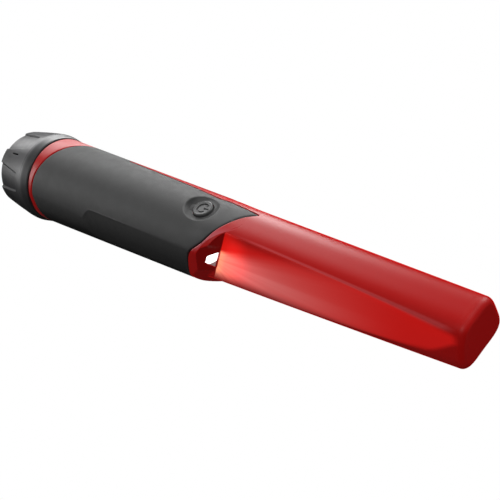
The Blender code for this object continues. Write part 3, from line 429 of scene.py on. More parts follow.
def build_housing(material):
    """The red shell, skinned from its hollow inside over the neck and collar to the closed tip."""
    degrees = columns((-100, -58, 2.0), (-58, -28, 0.5), (-28, 20, 1.5), (20, 128, 0.75),
                      (128, 260, 2.0))
    angle = np.radians(degrees)
    ones = np.ones(len(angle))
    rows, add = row_adder(angle)
    inner_end = PROBE_LENGTH - 3.0
    tip_bay = shank_radius(inner_end * ones, angle, 2.0)
    for share in (0.3, 0.7):
        add(inner_end, tip_bay * share)
    for x in np.concatenate([np.linspace(inner_end, 104.0, 14), np.linspace(99.0, BATTERY_BAY_END + 0.1, 12),
                             np.linspace(BATTERY_BAY_END, NECK_END, 5)]):
        add(x, bay_radius(x, angle))
    add(NECK_END, NECK_RADIUS - 0.6)
    for x in np.arange(NECK_END + 0.6, -5.0, 0.25):
        add(x, NECK_RADIUS + THREAD_HEIGHT * thread_lift(x, angle, -11.0, 1.5))
    for x in (-3.0, -0.3):
        add(x, NECK_RADIUS)
    add(0.0, NECK_RADIUS + 0.3)
    collar = shell_radius(0.0 * ones, angle)
    for along, drop in ((0.0, 0.4), (0.1, 0.12), (0.4, 0.0)):
        add(along, collar - drop)
    rear = sleeve_rear(degrees) - SLEEVE_GAP
    front = sleeve_front_grown(degrees, SLEEVE_GAP)
    edge = 0.3
    for share in np.linspace(0.1, 1.0, 10):
        x = 0.4 + (rear - edge - 0.4) * share
        add(x, shell_radius(x, angle))
    for along, drop in ((edge * 0.3, edge * 0.3), (0.0, edge)):
        add(rear - along, shell_radius(rear - along, angle) - drop)
    seat = SLEEVE_THICKNESS + SLEEVE_GAP
    for share in np.linspace(0.0, 1.0, 20):
        x = rear + (front - rear) * share
        add(x, envelope_radius(x, angle) - seat)
    for along, drop in ((0.0, edge), (edge * 0.3, edge * 0.3)):
        add(front + along, shell_radius(front + along, angle) - drop)
    fine_end = 131.0
    for share in np.linspace(0.0, 1.0, 112):
        x = front + edge + (fine_end - front - edge) * share
        add(x, shell_radius(x, angle))
    straight_end = PROBE_LENGTH - TIP_EDGE
    for x in np.linspace(fine_end, straight_end, 58)[1:]:
        add(x, shell_radius(x * ones, angle))
    for i in range(1, 11):
        turn = math.pi / 2.0 * i / 10.0
        x = straight_end + TIP_EDGE * math.sin(turn)
        drop = TIP_EDGE * (1.0 - math.cos(turn))
        add(x, shell_radius(x * ones, angle) - drop)
    end_face = shell_radius(PROBE_LENGTH * ones, angle) - TIP_EDGE
    for share in (0.85, 0.6, 0.35, 0.12):
        add(PROBE_LENGTH, end_face * share)
    housing = lathe_piece("housing_shell", rows, material)
    cut_away(housing, lamp_bar("lamp_cutter", SLEEVE_GAP, 86.0, -2.0))
    cut_away(housing, upright_cutter(BUTTON_RADIUS + 0.9, 5.0, 20.0))
    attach(housing, "housing")
    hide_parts("probe_housing")
    return housing


def lamp_outline(grow, count=25):
    """Trapezium with rounded corners on the wall, as (depth, down); it stands on the channel floor."""
    turn = np.linspace(0.0, math.pi, count)
    lift = np.clip(LAMP_SQUARENESS * np.sin(turn), 0.0, 1.0)
    lean = LAMP_HALF_WIDTH - LAMP_LEAN * lift
    depth = LAMP_DEPTH + (LAMP_HEIGHT + grow) * lift
    down = LAMP_DOWN + (lean + grow) * np.sign(np.cos(turn)) * np.minimum(1.0, 1.35 * np.abs(np.cos(turn)))
    depth[[0, -1]] = LAMP_DEPTH - grow
    return depth, down


def lamp_ring(depth, down, rear=None, recess=0.0):
    """Points of a D-shape at a fixed X, or on the wall and sunk by a recess."""
    y = -depth * math.sin(LIGHT_ANGLE) - down * math.cos(LIGHT_ANGLE)
    z = depth * math.cos(LIGHT_ANGLE) - down * math.sin(LIGHT_ANGLE)
    x = WALL_X - WALL_SLOPE * depth - WALL_SKEW * down - recess
    if rear is not None:
        x = np.full(depth.shape, rear)
    return np.stack([x, y, z], axis=-1)


def lamp_bar(name, grow, rear, recess):
    """A bar with the lamp's outline, from a rear X to the wall."""
    depth, down = lamp_outline(grow)
    return lathe_piece(name, [lamp_ring(depth, down, rear), lamp_ring(depth, down, None, recess)], None)


def build_lamp_window(material):
    """Clear lens with a bevelled edge, slightly domed."""
    depth, down = lamp_outline(0.0, 41)
    middle_depth = LAMP_DEPTH + LAMP_HEIGHT * 0.45
    rows = [lamp_ring(depth, down, 99.5)]
    for share, recess in ((1.0, 0.55), (0.985, 0.4), (0.95, 0.32), (0.8, 0.22), (0.5, 0.12), (0.2, 0.08)):
        rows.append(lamp_ring(middle_depth + (depth - middle_depth) * share,
                              LAMP_DOWN + (down - LAMP_DOWN) * share, None, recess))
    window = lathe_piece("lamp_lens", rows, material)
    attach(window, "housing")
    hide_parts("light_window")
    return window


# ---- grip sleeve --------------------------------------------------------------------------------
def dish_height(x, y):
    """Height of the dished well around the button."""
    away = np.hypot((x - DISH_CENTRE) / 1.06, y)
    return BUTTON_TOP - 1.1 + 0.26 * np.maximum(away - 5.0, 0.0) ** 2


def build_sleeve(material):
    """Rubber sleeve with rolled edges, finer columns where its edges run along the grip."""
    degrees = columns((-100, -58, 2.0), (-58, -30, 0.5), (-30, 32, 1.0), (32, 52, 1.0), (52, 82, 0.5),
                      (82, 128, 1.25), (128, 260, 2.5))
    angle = np.radians(degrees)
    near = np.array([0.0, 0.0006, 0.0016, 0.0033, 0.0056, 0.0085, 0.0125, 0.018])
    shares = np.concatenate([near, np.linspace(0.025, 0.3, 14), np.linspace(0.3, 0.45, 36)[1:],
                             np.linspace(0.45, 0.74, 18)[1:], np.linspace(0.74, 0.92, 60)[1:],
                             np.linspace(0.92, 0.975, 10)[1:], 1.0 - near[::-1]])
    rear = sleeve_rear(degrees)
    front = sleeve_front(degrees)
    x = rear + (front - rear) * shares[:, None]
    turn = np.broadcast_to(angle, x.shape)
    radius = envelope_radius(x, turn)
    from_front = edge_distance(np.broadcast_to(degrees, x.shape), x)
    from_rear = x - rear
    for away, lip in ((from_front, SLEEVE_LIP), (from_rear, SLEEVE_LIP * 0.6)):
        inside = np.clip(lip - away, 0.0, lip)
        radius = radius - (lip - np.sqrt(lip ** 2 - inside ** 2))
    outer = around(x, turn, radius)
    well = np.hypot(outer[..., 0] - DISH_CENTRE, outer[..., 1]) < 10.0
    top = well & (outer[..., 2] > 0.0)
    dished = smooth_min(outer[..., 2], dish_height(outer[..., 0], outer[..., 1]), 0.35)
    outer[..., 2] = np.where(top, dished, outer[..., 2])
    coarse = np.array([0, 8, 22, 40, 56, 74, 90, 110, 128, len(shares) - 1])
    inner_radius = envelope_radius(x[coarse], turn[coarse]) - SLEEVE_THICKNESS
    inner = around(x[coarse], turn[coarse], inner_radius)[::-1]
    sleeve = lathe_piece("rubber_sleeve", list(outer) + list(inner), material, closed=True)
    cut_away(sleeve, upright_cutter(BUTTON_RADIUS + 0.25, 5.0, 20.0))
    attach(sleeve, "housing")
    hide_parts("grip_sleeve")
    return sleeve


# ---- button -------------------------------------------------------------------------------------
def build_button(material):
    """Round key: flange, stem, rounded rim and a slightly dished top with the power symbol."""
    count = 180
    turn = np.linspace(0.0, 2.0 * math.pi, count, endpoint=False)
    rim = BUTTON_RADIUS - 0.1
    rows = []

    def add(radius, height):
        rows.append(np.stack([BUTTON_X + radius * np.cos(turn), radius * np.sin(turn),
                              height * np.ones(count)], axis=-1))

    base = button_low.z / MM
    for radius, height in ((1.6, base), (1.6, 8.8), (BUTTON_RADIUS + 1.2, 8.8), (BUTTON_RADIUS + 1.2, 9.8),
                           (rim, 9.8), (rim, 11.0), (rim, 12.6)):
        add(radius, height)
    edge = 0.55
    for i in range(7):
        lean = math.pi / 2.0 * i / 6.0
        add(rim - edge * (1.0 - math.cos(lean)), BUTTON_TOP - edge + edge * math.sin(lean))
    gap = np.abs(np.arctan2(np.sin(turn), np.cos(turn)))
    for radius in np.linspace(rim - edge - 0.1, 0.12, 46):
        ring = (1.0 - smooth_step(0.26, 0.42, abs(radius - 2.2))) * smooth_step(0.6, 0.74, gap)
        sideways = np.abs(radius * np.sin(turn))
        bar = (1.0 - smooth_step(0.26, 0.42, sideways)) * (np.cos(turn) > 0.0)
        bar = bar * smooth_step(0.5, 0.7, radius) * (1.0 - smooth_step(2.9, 3.05, radius))
        dip = 0.18 * (1.0 - (radius / rim) ** 2)
        add(radius, BUTTON_TOP - dip - 0.4 * np.maximum(ring, bar))
    button = lathe_piece("power_key", rows, material)
    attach(button, "button")
    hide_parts("power_button")
    return button


# ---- cap and seal -------------------------------------------------------------------------------
CAP_REAR_RADIUS = 17.6
CAP_RIM_RADIUS = 19.4
CAP_BELT_X = -5.2
CAP_PAD_COUNT = 6
CAP_PAD_FRONT = -9.2
CAP_PAD_DEPTH = 0.85
CAP_BORE_RADIUS = 17.7
CAP_EDGE = 0.9
INDEX_ANGLE = 24.0
INDEX_REAR = -17.4
INDEX_FRONT = -12.2


def cap_radius(x, angle):
    """Shallow cone with raised pads over its rear part, and a rim that narrows to the seam."""
    rear_share = np.clip((CAP_BELT_X - x) / (CAP_BELT_X - CAP_REAR), 0.0, 1.0)
    front_share = np.clip((x - CAP_BELT_X) / -CAP_BELT_X, 0.0, 1.0)
    radius = CAP_BELT_RADIUS + (CAP_REAR_RADIUS - CAP_BELT_RADIUS) * rear_share ** 1.25
    radius = radius + (CAP_RIM_RADIUS - CAP_BELT_RADIUS) * front_share
    taper = 0.7 * (x - CAP_REAR) / (CAP_PAD_FRONT - CAP_REAR) - 0.4
    between = smooth_step(-0.1, 0.1, np.cos(CAP_PAD_COUNT * angle) - taper)
    behind = 1.0 - smooth_step(CAP_PAD_FRONT - 0.35, CAP_PAD_FRONT + 0.35, x)
    return radius - CAP_PAD_DEPTH * between * behind


def index_mark(x, angle):
    """Short engraved dash on one pad, which shows how far the cap has turned."""
    away = np.abs(np.degrees(angle) - INDEX_ANGLE) * 0.32
    along = smooth_step(INDEX_REAR, INDEX_REAR + 0.4, x)
    along = along * (1.0 - smooth_step(INDEX_FRONT - 0.4, INDEX_FRONT, x))
    return 0.35 * (1.0 - smooth_step(0.12, 0.4, away)) * along


def build_cap(material):
    """Screw cap, skinned from its rear face over the pads and the rim to the thread inside."""
    angle = np.radians(np.arange(-120.0, 240.0, 0.75))
    rows, add = row_adder(angle)
    rear_edge = cap_radius(CAP_REAR, angle)
    for share in (0.15, 0.4, 0.7, 0.93):
        add(CAP_REAR, (rear_edge - CAP_EDGE) * share)
    for i in range(9):
        turn = math.pi / 2.0 * i / 8.0
        x = CAP_REAR + CAP_EDGE * (1.0 - math.cos(turn))
        add(x, cap_radius(x, angle) - CAP_EDGE * (1.0 - math.sin(turn)))
    pad_end = (CAP_PAD_FRONT - 1.0, CAP_PAD_FRONT + 1.0)
    belt = (CAP_BELT_X - 0.6, CAP_BELT_X + 0.6)
    spans = (np.linspace(CAP_REAR + CAP_EDGE, pad_end[0], 42)[1:], np.linspace(*pad_end, 17)[1:],
             np.linspace(pad_end[1], belt[0], 8)[1:], np.linspace(*belt, 9)[1:],
             np.linspace(belt[1], -0.8, 9)[1:])
    for x in np.concatenate(spans):
        belt_easing = 0.08 * math.exp(-((x - CAP_BELT_X) / 0.35) ** 2)
        add(x, cap_radius(x, angle) - index_mark(x, angle) - belt_easing)
    rim = cap_radius(CAP_FRONT, angle)
    for along, drop in ((0.2, 0.03), (0.06, 0.12), (0.0, 0.3)):
        add(CAP_FRONT - along, rim - drop)
    pocket = NECK_RADIUS + 1.9
    for x, radius in ((CAP_FRONT, pocket), (-3.0, pocket), (-3.0, CAP_BORE_RADIUS), (-4.6, CAP_BORE_RADIUS)):
        add(x, radius)
    for x in np.arange(-4.8, -10.4, -0.25):
        add(x, CAP_BORE_RADIUS - THREAD_HEIGHT * thread_lift(x, angle, -11.0 + THREAD_PITCH / 2.0, 1.5))
    small_bore = 15.3
    floor = CAP_REAR + 2.0
    for x, radius in ((-14.2, CAP_BORE_RADIUS), (-15.2, small_bore), (floor, small_bore),
                      (floor, small_bore * 0.6), (floor, small_bore * 0.2)):
        add(x, radius)
    cap = lathe_piece("screw_cap", rows, material)
    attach(cap, "cap")
    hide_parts("end_cap")
    return cap


def build_seal(material):
    """Neck O-ring."""
    seal = 0.55
    angle = np.linspace(0.0, 2.0 * math.pi, 160, endpoint=False)
    rows = []
    for lean in np.linspace(0.0, 2.0 * math.pi, 16, endpoint=False):
        radius = NECK_RADIUS + SLEEVE_GAP + seal + seal * math.sin(lean)
        rows.append(around(np.full(160, -1.5 + seal * math.cos(lean)), angle, radius))
    ring = lathe_piece("neck_o_ring", rows, material, closed=True)
    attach(ring, "housing")
    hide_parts("neck_seal")
    return ring


# ---- materials ----------------------------------------------------------------------------------
class Look:
    """A Principled material with short calls for the nodes that feed it."""

    def __init__(self, name, color, roughness, metallic=0.0):
        self.material = bpy.data.materials.new(name)
        self.material.use_nodes = True
        self.tree = self.material.node_tree
        self.shader = self.tree.nodes["Principled BSDF"]
        self.set("Base Color", (*color, 1.0))
        self.set("Roughness", roughness)
        self.set("Metallic", metallic)
        self.place = self.node("ShaderNodeTexCoord").outputs["Object"]
        self.heights = []

    def set(self, socket, value):
        self.shader.inputs[socket].default_value = value

    def node(self, kind, **settings):
        made = self.tree.nodes.new(kind)
        for key, value in settings.items():
            setattr(made, key, value)
        return made

    def plug(self, source, target):
        if isinstance(source, bpy.types.NodeSocket):
            self.tree.links.new(source, target)
        else:
            target.default_value = source

    def math(self, operation, first, second=0.0, clamp=False):
        made = self.node("ShaderNodeMath", operation=operation, use_clamp=clamp)
        self.plug(first, made.inputs[0])
        self.plug(second, made.inputs[1])
        return made.outputs[0]

    def product(self, *values):
        """Several values multiplied together."""
        result = values[0]
        for value in values[1:]:
            result = self.math('MULTIPLY', result, value)
        return result

    def hypot(self, first, second):
        squares = self.math('ADD', self.math('POWER', first, 2.0), self.math('POWER', second, 2.0))
        return self.math('SQRT', squares)

    def dot(self, source, direction):
        made = self.node("ShaderNodeVectorMath", operation='DOT_PRODUCT')
        self.plug(source, made.inputs[0])
        made.inputs[1].default_value = direction
        return made.outputs["Value"]

    def along(self, direction):
        """Distance in mm along a direction."""
        return self.math('MULTIPLY', self.dot(self.place, direction), 1.0 / MM)

    def from_seam(self):
        """Distance in mm in front of the seam."""
        return self.math('SUBTRACT', self.along(FORWARD), SEAM)

    def facing(self, direction):
        """How far the surface faces a direction, from -1 to 1."""
        return self.dot(self.node("ShaderNodeNewGeometry").outputs["True Normal"], direction)

    def edge_on(self):
        """0 where the surface is seen full face, 1 where it is seen edge-on."""
        return self.node("ShaderNodeLayerWeight").outputs["Facing"]

    def pointiness(self):
        """Below a half in grooves, above it on edges."""
        return self.node("ShaderNodeNewGeometry").outputs["Pointiness"]

    def tint(self, amount, color):
        """Blends the base colour towards another."""
        socket = self.shader.inputs["Base Color"]
        self.plug(self.mix(amount, socket.links[0].from_socket, color), socket)

    def drive(self, socket, value):
        self.plug(value, self.shader.inputs[socket])

    def fade(self, value, low, high, bottom=0.0, top=1.0):
        made = self.node("ShaderNodeMapRange", interpolation_type='SMOOTHSTEP')
        for socket, setting in zip(made.inputs, (value, low, high, bottom, top)):
            self.plug(setting, socket)
        return made.outputs["Result"]

    def mix(self, amount, first, second):
        made = self.node("ShaderNodeMix", data_type='RGBA')
        for socket, setting in ((0, amount), (6, first), (7, second)):
            value = (*setting, 1.0) if isinstance(setting, tuple) and len(setting) == 3 else setting
            self.plug(value, made.inputs[socket])
        return made.outputs[2]

    def add(self, first, second):
        made = self.node("ShaderNodeMix", data_type='RGBA', blend_type='ADD')
        made.inputs[0].default_value = 1.0
        self.plug(first, made.inputs[6])
        self.plug(second, made.inputs[7])
        return made.outputs[2]

    def noise(self, size, detail=3.0, stretch=(1.0, 1.0, 1.0), rough=0.5):
        """Noise whose features are about this many mm wide."""
        mapping = self.node("ShaderNodeMapping")
        self.plug(self.place, mapping.inputs["Vector"])
        mapping.inputs["Scale"].default_value = stretch
        made = self.node("ShaderNodeTexNoise")
        self.plug(mapping.outputs[0], made.inputs["Vector"])
        made.inputs["Scale"].default_value = 1.0 / (size * MM)
        made.inputs["Detail"].default_value = detail
        made.inputs["Roughness"].default_value = rough
        return made.outputs["Fac"]

    def bump(self, height, depth):
        """Adds relief of this depth in mm."""
        made = self.node("ShaderNodeBump")
        made.inputs["Distance"].default_value = depth * MM
        self.plug(height, made.inputs["Height"])
        if self.heights:
            self.plug(self.heights[-1], made.inputs["Normal"])
        self.heights.append(made.outputs["Normal"])
        self.drive("Normal", made.outputs["Normal"])

    def vary(self, socket, amount, low, high):
        """Drives a setting between two values."""
        if isinstance(low, tuple):
            self.drive(socket, self.mix(amount, low, high))
        else:
            self.drive(socket, self.fade(amount, 0.3, 0.7, low, high))


def moulded(name, color, roughness, grain=0.35, depth=0.012, variation=0.12, unevenness=0.045):
    """Moulded plastic or rubber: fine grain, soft mottling and uneven gloss."""
    look = Look(name, color, roughness)
    mottle = look.noise(9.0, 4.0)
    darker = tuple(value * (1.0 - variation) for value in color)
    lighter = tuple(min(1.0, value * (1.0 + variation)) for value in color)
    look.vary("Base Color", mottle, darker, lighter)
    look.vary("Roughness", look.noise(3.0, 3.0), roughness - unevenness, roughness + unevenness)
    look.bump(look.noise(grain, 2.0), depth)
    return look


def paint_edge_highlight(look, color, strength, low=0.53, high=0.62):
    """Painted highlight: lightens convex edges a little."""
    look.tint(look.product(look.fade(look.pointiness(), low, high), strength), color)


def paint_shade(look, value, low, high, least):
    """Painted shade: darkens the base colour where a value is low, down to its least share."""
    look.tint(look.fade(value, low, high, 1.0 - least, 0.0), BLACK)


def shade_hollows(look, least):
    """Darker grooves and hollows."""
    paint_shade(look, look.pointiness(), 0.45, 0.495, least)


def red_plastic():
    """Moulded shell: duller at the tip, and less shiny where it is seen full face or edge-on."""
    look = moulded("housing_red_plastic", (0.275, 0.003, 0.0026), 0.36, 0.3, 0.003, 0.02, 0.01)
    x = look.from_seam()
    edge_on = look.edge_on()
    tip = look.fade(x, PROBE_LENGTH - 4.0, PROBE_LENGTH - 2.0)
    roughness = look.shader.inputs["Roughness"].links[0].from_socket
    look.drive("Roughness", look.math('ADD', roughness, look.math('MULTIPLY', tip, 0.14)))
    sheen = look.product(look.fade(edge_on, 0.42, 0.7, 0.5, 0.02), look.fade(edge_on, 0.2, 0.36, 0.5, 1.0),
                         look.fade(tip, 0.0, 1.0, 1.0, 0.6))
    collar = look.fade(x, 16.0, 9.0, 0.0, 0.45)
    look.drive("Specular IOR Level", look.math('MAXIMUM', sheen, collar))
    # Darker lamp wall, and a painted highlight on the rim behind it.
    darken_lamp_wall_paint_rim_highlight(look)
    # Painted highlight along the channel's upper ridge.
    paint_ridge_highlight(look)
    # Painted glow: the lamp's light on the channel floor, and a faint glow on the shell that stands in for
    # bounced light.
    look.drive("Emission Color", look.add(lamp_light(look), painted_glow(look)))
    look.set("Emission Strength", 1.0)
    return look.material


def darken_lamp_wall_paint_rim_highlight(look):
    """Darkens the slanted wall around the lamp, and paints a paler highlight on the rim behind its upper
    part.
    """
    x = look.from_seam()
    down = look.along(DOWNWARD)
    slant = look.math('ADD', look.math('MULTIPLY', look.along(OUTWARD), WALL_SLOPE),
                      look.math('MULTIPLY', down, WALL_SKEW))
    level = look.math('ADD', x, slant)
    near = look.fade(x, 118.0, 116.0)
    wall = look.product(look.fade(level, WALL_X - 0.45, WALL_X - 0.2), near,
                        look.fade(look.facing(FORWARD), 0.28, 0.42))
    look.tint(wall, (0.08, 0.0007, 0.0005))
    # Painted highlight: a paler mauve strip on the rim behind the wall's upper part.
    rim = look.product(look.fade(level, WALL_X - 6.5, WALL_X - 5.0),
                       look.fade(level, WALL_X - 0.2, WALL_X - 0.5),
                       look.fade(down, 0.0, -4.0), look.fade(down, -12.0, -9.0), near)
    look.tint(rim, (0.4, 0.085, 0.1))


def floor_height(look):
    """Distance out from the axis less the channel's rise, so that its floor is at FLOOR_DEPTH."""
    rise = look.math('MULTIPLY', look.math('SUBTRACT', look.from_seam(), WALL_FOOT), FLOOR_RISE)
    return look.math('SUBTRACT', look.along(OUTWARD), rise)


def paint_ridge_highlight(look):
    """Painted highlight: a paler line along the channel's upper ridge, where the ridge would catch the light.
    """
    x = look.from_seam()
    height = floor_height(look)
    line = look.product(look.fade(height, FLOOR_DEPTH - 0.15, FLOOR_DEPTH - 0.4),
                        look.fade(height, FLOOR_DEPTH - 1.2, FLOOR_DEPTH - 0.6),
                        look.fade(look.along(DOWNWARD), -2.0, -4.0), look.fade(x, 116.0, 135.0),
                        look.fade(x, CHANNEL_END, CHANNEL_END - 6.0), 0.6)
    look.tint(line, (0.42, 0.06, 0.065))


def lamp_fan(look, past_wall, from_wall, down):
    """A fan of light that widens from the lamp, streaked with rays."""
    spread = look.math('ADD', look.math('MULTIPLY', look.math('MAXIMUM', past_wall, 0.0), 0.13), 0.5)
    across = look.math('DIVIDE', look.math('ADD', down, 1.0), spread)
    bearing = look.math('DIVIDE', look.math('SUBTRACT', down, LAMP_DOWN), look.math('ADD', from_wall, 6.0))
    rays = look.node("ShaderNodeTexNoise", noise_dimensions='1D')
    look.plug(bearing, rays.inputs["W"])
    rays.inputs["Scale"].default_value = 9.0
    rays.inputs["Detail"].default_value = 2.0
    return look.product(look.fade(across, -1.7, 1.5), look.fade(down, 12.5, 6.5),
                        look.fade(rays.outputs["Fac"], 0.3, 0.7, 0.82, 1.14))


def lamp_light(look):
    """The lamp's light on the channel floor."""
    down = look.along(DOWNWARD)
    height = floor_height(look)
    past_wall = look.math('SUBTRACT', look.from_seam(), WALL_FOOT)
    from_wall = look.math('ADD', past_wall, look.math('MULTIPLY', down, WALL_SKEW))
    on_floor = look.product(look.fade(height, FLOOR_DEPTH + 0.45, FLOOR_DEPTH + 0.15),
                            look.fade(height, FLOOR_DEPTH - 0.5, FLOOR_DEPTH - 0.15),
                            look.fade(from_wall, 0.0, 0.5))
    fan = lamp_fan(look, past_wall, from_wall, down)
    reach = look.hypot(look.math('SUBTRACT', past_wall, 3.0), look.math('ADD', down, 1.5))
    lower = look.math('MULTIPLY', look.math('MAXIMUM', look.math('SUBTRACT', down, 0.5), 0.0), 1.5)
    to_end = look.math('ADD', past_wall, lower)
    end = CHANNEL_END - WALL_FOOT
    beside_lamp = look.fade(reach, 15.0, 1.5)
    far_white = look.product(look.fade(from_wall, 88.0, -6.0), fan)
    near_white = look.product(look.fade(from_wall, 14.0, 0.0), fan)
    near_red = look.product(look.math('POWER', look.fade(from_wall, 36.0, 0.0), 1.5), fan)
    foot = look.product(look.fade(from_wall, 4.5, 0.3), look.fade(down, -2.2, -0.6),
                        look.fade(down, 10.0, 7.5))
    whole = look.product(look.fade(down, -10.5, -5.0), look.fade(down, 11.5, 7.5),
                         look.fade(to_end, end + 1.5, end - 2.5), look.fade(from_wall, 0.5, 9.0))
    total = None
    for amount, color in ((beside_lamp, (0.5, 0.006, 0.003)), (far_white, (0.15, 0.142, 0.136)),
                          (near_white, (0.12, 0.1, 0.04)), (near_red, (0.42, 0.015, 0.012)),
                          (foot, (0.2, 0.11, 0.02)), (whole, (0.26, 0.005, 0.004))):
        part = look.mix(look.product(amount, on_floor), BLACK, color)
        total = part if total is None else look.add(total, part)
    return total


def painted_glow(look):
    """Painted glow, a stand-in for bounced light: most where the plastic is seen edge-on, and not around the
    key.
    """
    x = look.from_seam()
    light = look.mix(look.fade(look.edge_on(), 0.6, 1.0), (0.07, 0.0008, 0.0007), (0.42, 0.005, 0.004))
    # The painted glow is weaker on the far flank and left out below the collar and around the key.
    far_flank = look.product(look.fade(x, WALL_FOOT + 4.0, WALL_FOOT - 18.0),
                             look.fade(look.facing((0.0, 1.0, 0.0)), 0.1, 0.5))
    light = look.mix(far_flank, light, (0.13, 0.0015, 0.0012))
    under_collar = look.product(look.fade(x, 12.0, 8.0), look.fade(look.along(UPWARD), 6.0, -9.0))
    light = look.mix(under_collar, light, BLACK)
    from_key = look.hypot(look.math('SUBTRACT', x, BUTTON_X), look.along((0.0, 1.0, 0.0)))
    return look.mix(look.fade(from_key, 5.2, 6.5), BLACK, light)


def grip_rubber():
    """Matt rubber, with painted shade below and on its front edge, and painted highlights on convex edges."""
    look = moulded("grip_rubber_matt", (0.056, 0.056, 0.056), 0.55, 0.22, 0.014, 0.05)
    # Painted shade: darker towards the bottom.
    paint_shade(look, look.along(UPWARD), -6.0, 8.0, 0.35)
    # Painted shade on faces turned forward, along the front edge.
    paint_shade(look, look.facing(FORWARD), 0.7, 0.2, 0.2)
    # Painted shade in hollows and a painted highlight on convex edges.
    shade_hollows(look, 0.35)
    paint_edge_highlight(look, (0.14, 0.14, 0.14), 0.4, 0.508, 0.54)
    look.drive("Specular IOR Level", look.fade(look.edge_on(), 0.35, 0.68, 0.3, 0.07))
    look.bump(look.noise(0.9, 2.0), 0.004)
    return look.material


def index_groove_shade(look):
    """Where the cap's index mark is, for painted shade in its groove."""
    x = look.from_seam()
    turn = math.radians(INDEX_ANGLE)
    across = look.math('ABSOLUTE', look.along((0.0, -math.cos(turn), -math.sin(turn))))
    out = look.along((0.0, -math.sin(turn), math.cos(turn)))
    return look.product(look.fade(across, 0.5, 0.3), look.fade(out, 10.0, 12.0),
                        look.fade(x, INDEX_REAR, INDEX_REAR + 0.5),
                        look.fade(x, INDEX_FRONT, INDEX_FRONT - 0.5))


def cap_plastic():
    """Satin plastic, with painted shade below, on the rim and in the index mark, and painted highlights on
    convex edges.
    """
    look = moulded("cap_satin_plastic", (0.058, 0.058, 0.06), 0.4, 0.3, 0.01, 0.1)
    # Painted shade towards the bottom and on the front rim.
    paint_shade(look, look.facing(UPWARD), 0.0, 0.6, 0.4)
    paint_shade(look, look.from_seam(), -3.2, -4.6, 0.55)
    # Painted shade in hollows and a painted highlight on convex edges.
    shade_hollows(look, 0.2)
    paint_edge_highlight(look, (0.16, 0.16, 0.165), 0.15)
    dash = index_groove_shade(look)
    # Painted shade in the index mark's groove.
    look.tint(dash, (0.004, 0.004, 0.004))
    edge_on = look.edge_on()
    look.drive("Specular IOR Level",
               look.product(look.fade(edge_on, 0.5, 0.78, 0.9, 0.1), look.fade(edge_on, 0.25, 0.5, 0.4, 1.0),
                            look.math('SUBTRACT', 1.0, dash)))
    return look.material


def key_rubber():
    look = moulded("key_rubber", (0.04, 0.04, 0.04), 0.5, 0.2, 0.01, 0.1)
    # Painted shade in hollows and a painted highlight on convex edges.
    shade_hollows(look, 0.3)
    paint_edge_highlight(look, (0.12, 0.12, 0.12), 0.2)
    return look.material


def lit_lens():
    """Lamp lens: bright, with a greyer lower end where the light falls off."""
    look = Look("lamp_lens_clear", (0.25, 0.2, 0.2), 0.2)
    above_floor = look.math('SUBTRACT', look.along(OUTWARD), FLOOR_DEPTH)
    side = look.math('SUBTRACT', look.along(DOWNWARD), look.math('MULTIPLY', above_floor, 1.25))
    lit = look.fade(side, LAMP_DOWN + 0.35, LAMP_DOWN)
    glow = look.fade(lit, 0.0, 1.0, 0.18, 2.0)
    ripple = look.noise(0.8, 2.0)
    white = look.mix(ripple, (1.0, 0.97, 0.93), (1.0, 1.0, 1.0))
    look.drive("Emission Color", look.mix(lit, (0.9, 0.55, 0.55), white))
    look.drive("Emission Strength", glow)
    look.bump(ripple, 0.01)
    return look.material


def brushed(name, color, roughness, stretch):
    look = Look(name, color, roughness, 1.0)
    lines = look.noise(0.25, 2.0, stretch)
    look.vary("Roughness", lines, roughness - 0.08, roughness + 0.14)
    look.vary("Base Color", look.noise(2.0), tuple(v * 0.85 for v in color), color)
    look.bump(lines, 0.004)
    return look.material


def wound_wire():
    look = Look("copper_winding", (0.55, 0.2, 0.07), 0.3, 1.0)
    wave = look.node("ShaderNodeTexWave", wave_type='BANDS', bands_direction='X')
    look.plug(look.place, wave.inputs["Vector"])
    wave.inputs["Scale"].default_value = 1.0 / (4.0 * 0.3 * MM)
    look.vary("Base Color", wave.outputs["Fac"], (0.3, 0.1, 0.03), (0.65, 0.26, 0.1))
    look.bump(wave.outputs["Fac"], 0.05)
    return look.material


def laminate():
    look = Look("board_solder_mask", (0.015, 0.14, 0.05), 0.35)
    tracks = look.node("ShaderNodeTexBrick")
    look.plug(look.place, tracks.inputs["Vector"])
    tracks.inputs["Scale"].default_value = 260.0
    tracks.inputs["Mortar Size"].default_value = 0.03
    look.drive("Base Color", look.mix(tracks.outputs["Fac"], (0.012, 0.12, 0.04), (0.03, 0.24, 0.09)))
    look.bump(tracks.outputs["Fac"], 0.02)
    return look.material


def foam():
    look = Look("closed_cell_foam", (0.06, 0.06, 0.065), 0.9)
    cells = look.node("ShaderNodeTexVoronoi")
    look.plug(look.place, cells.inputs["Vector"])
    cells.inputs["Scale"].default_value = 1.0 / (0.5 * MM)
    look.vary("Base Color", cells.outputs["Distance"], (0.04, 0.04, 0.045), (0.1, 0.1, 0.11))
    look.bump(cells.outputs["Distance"], 0.08)
    return look.material


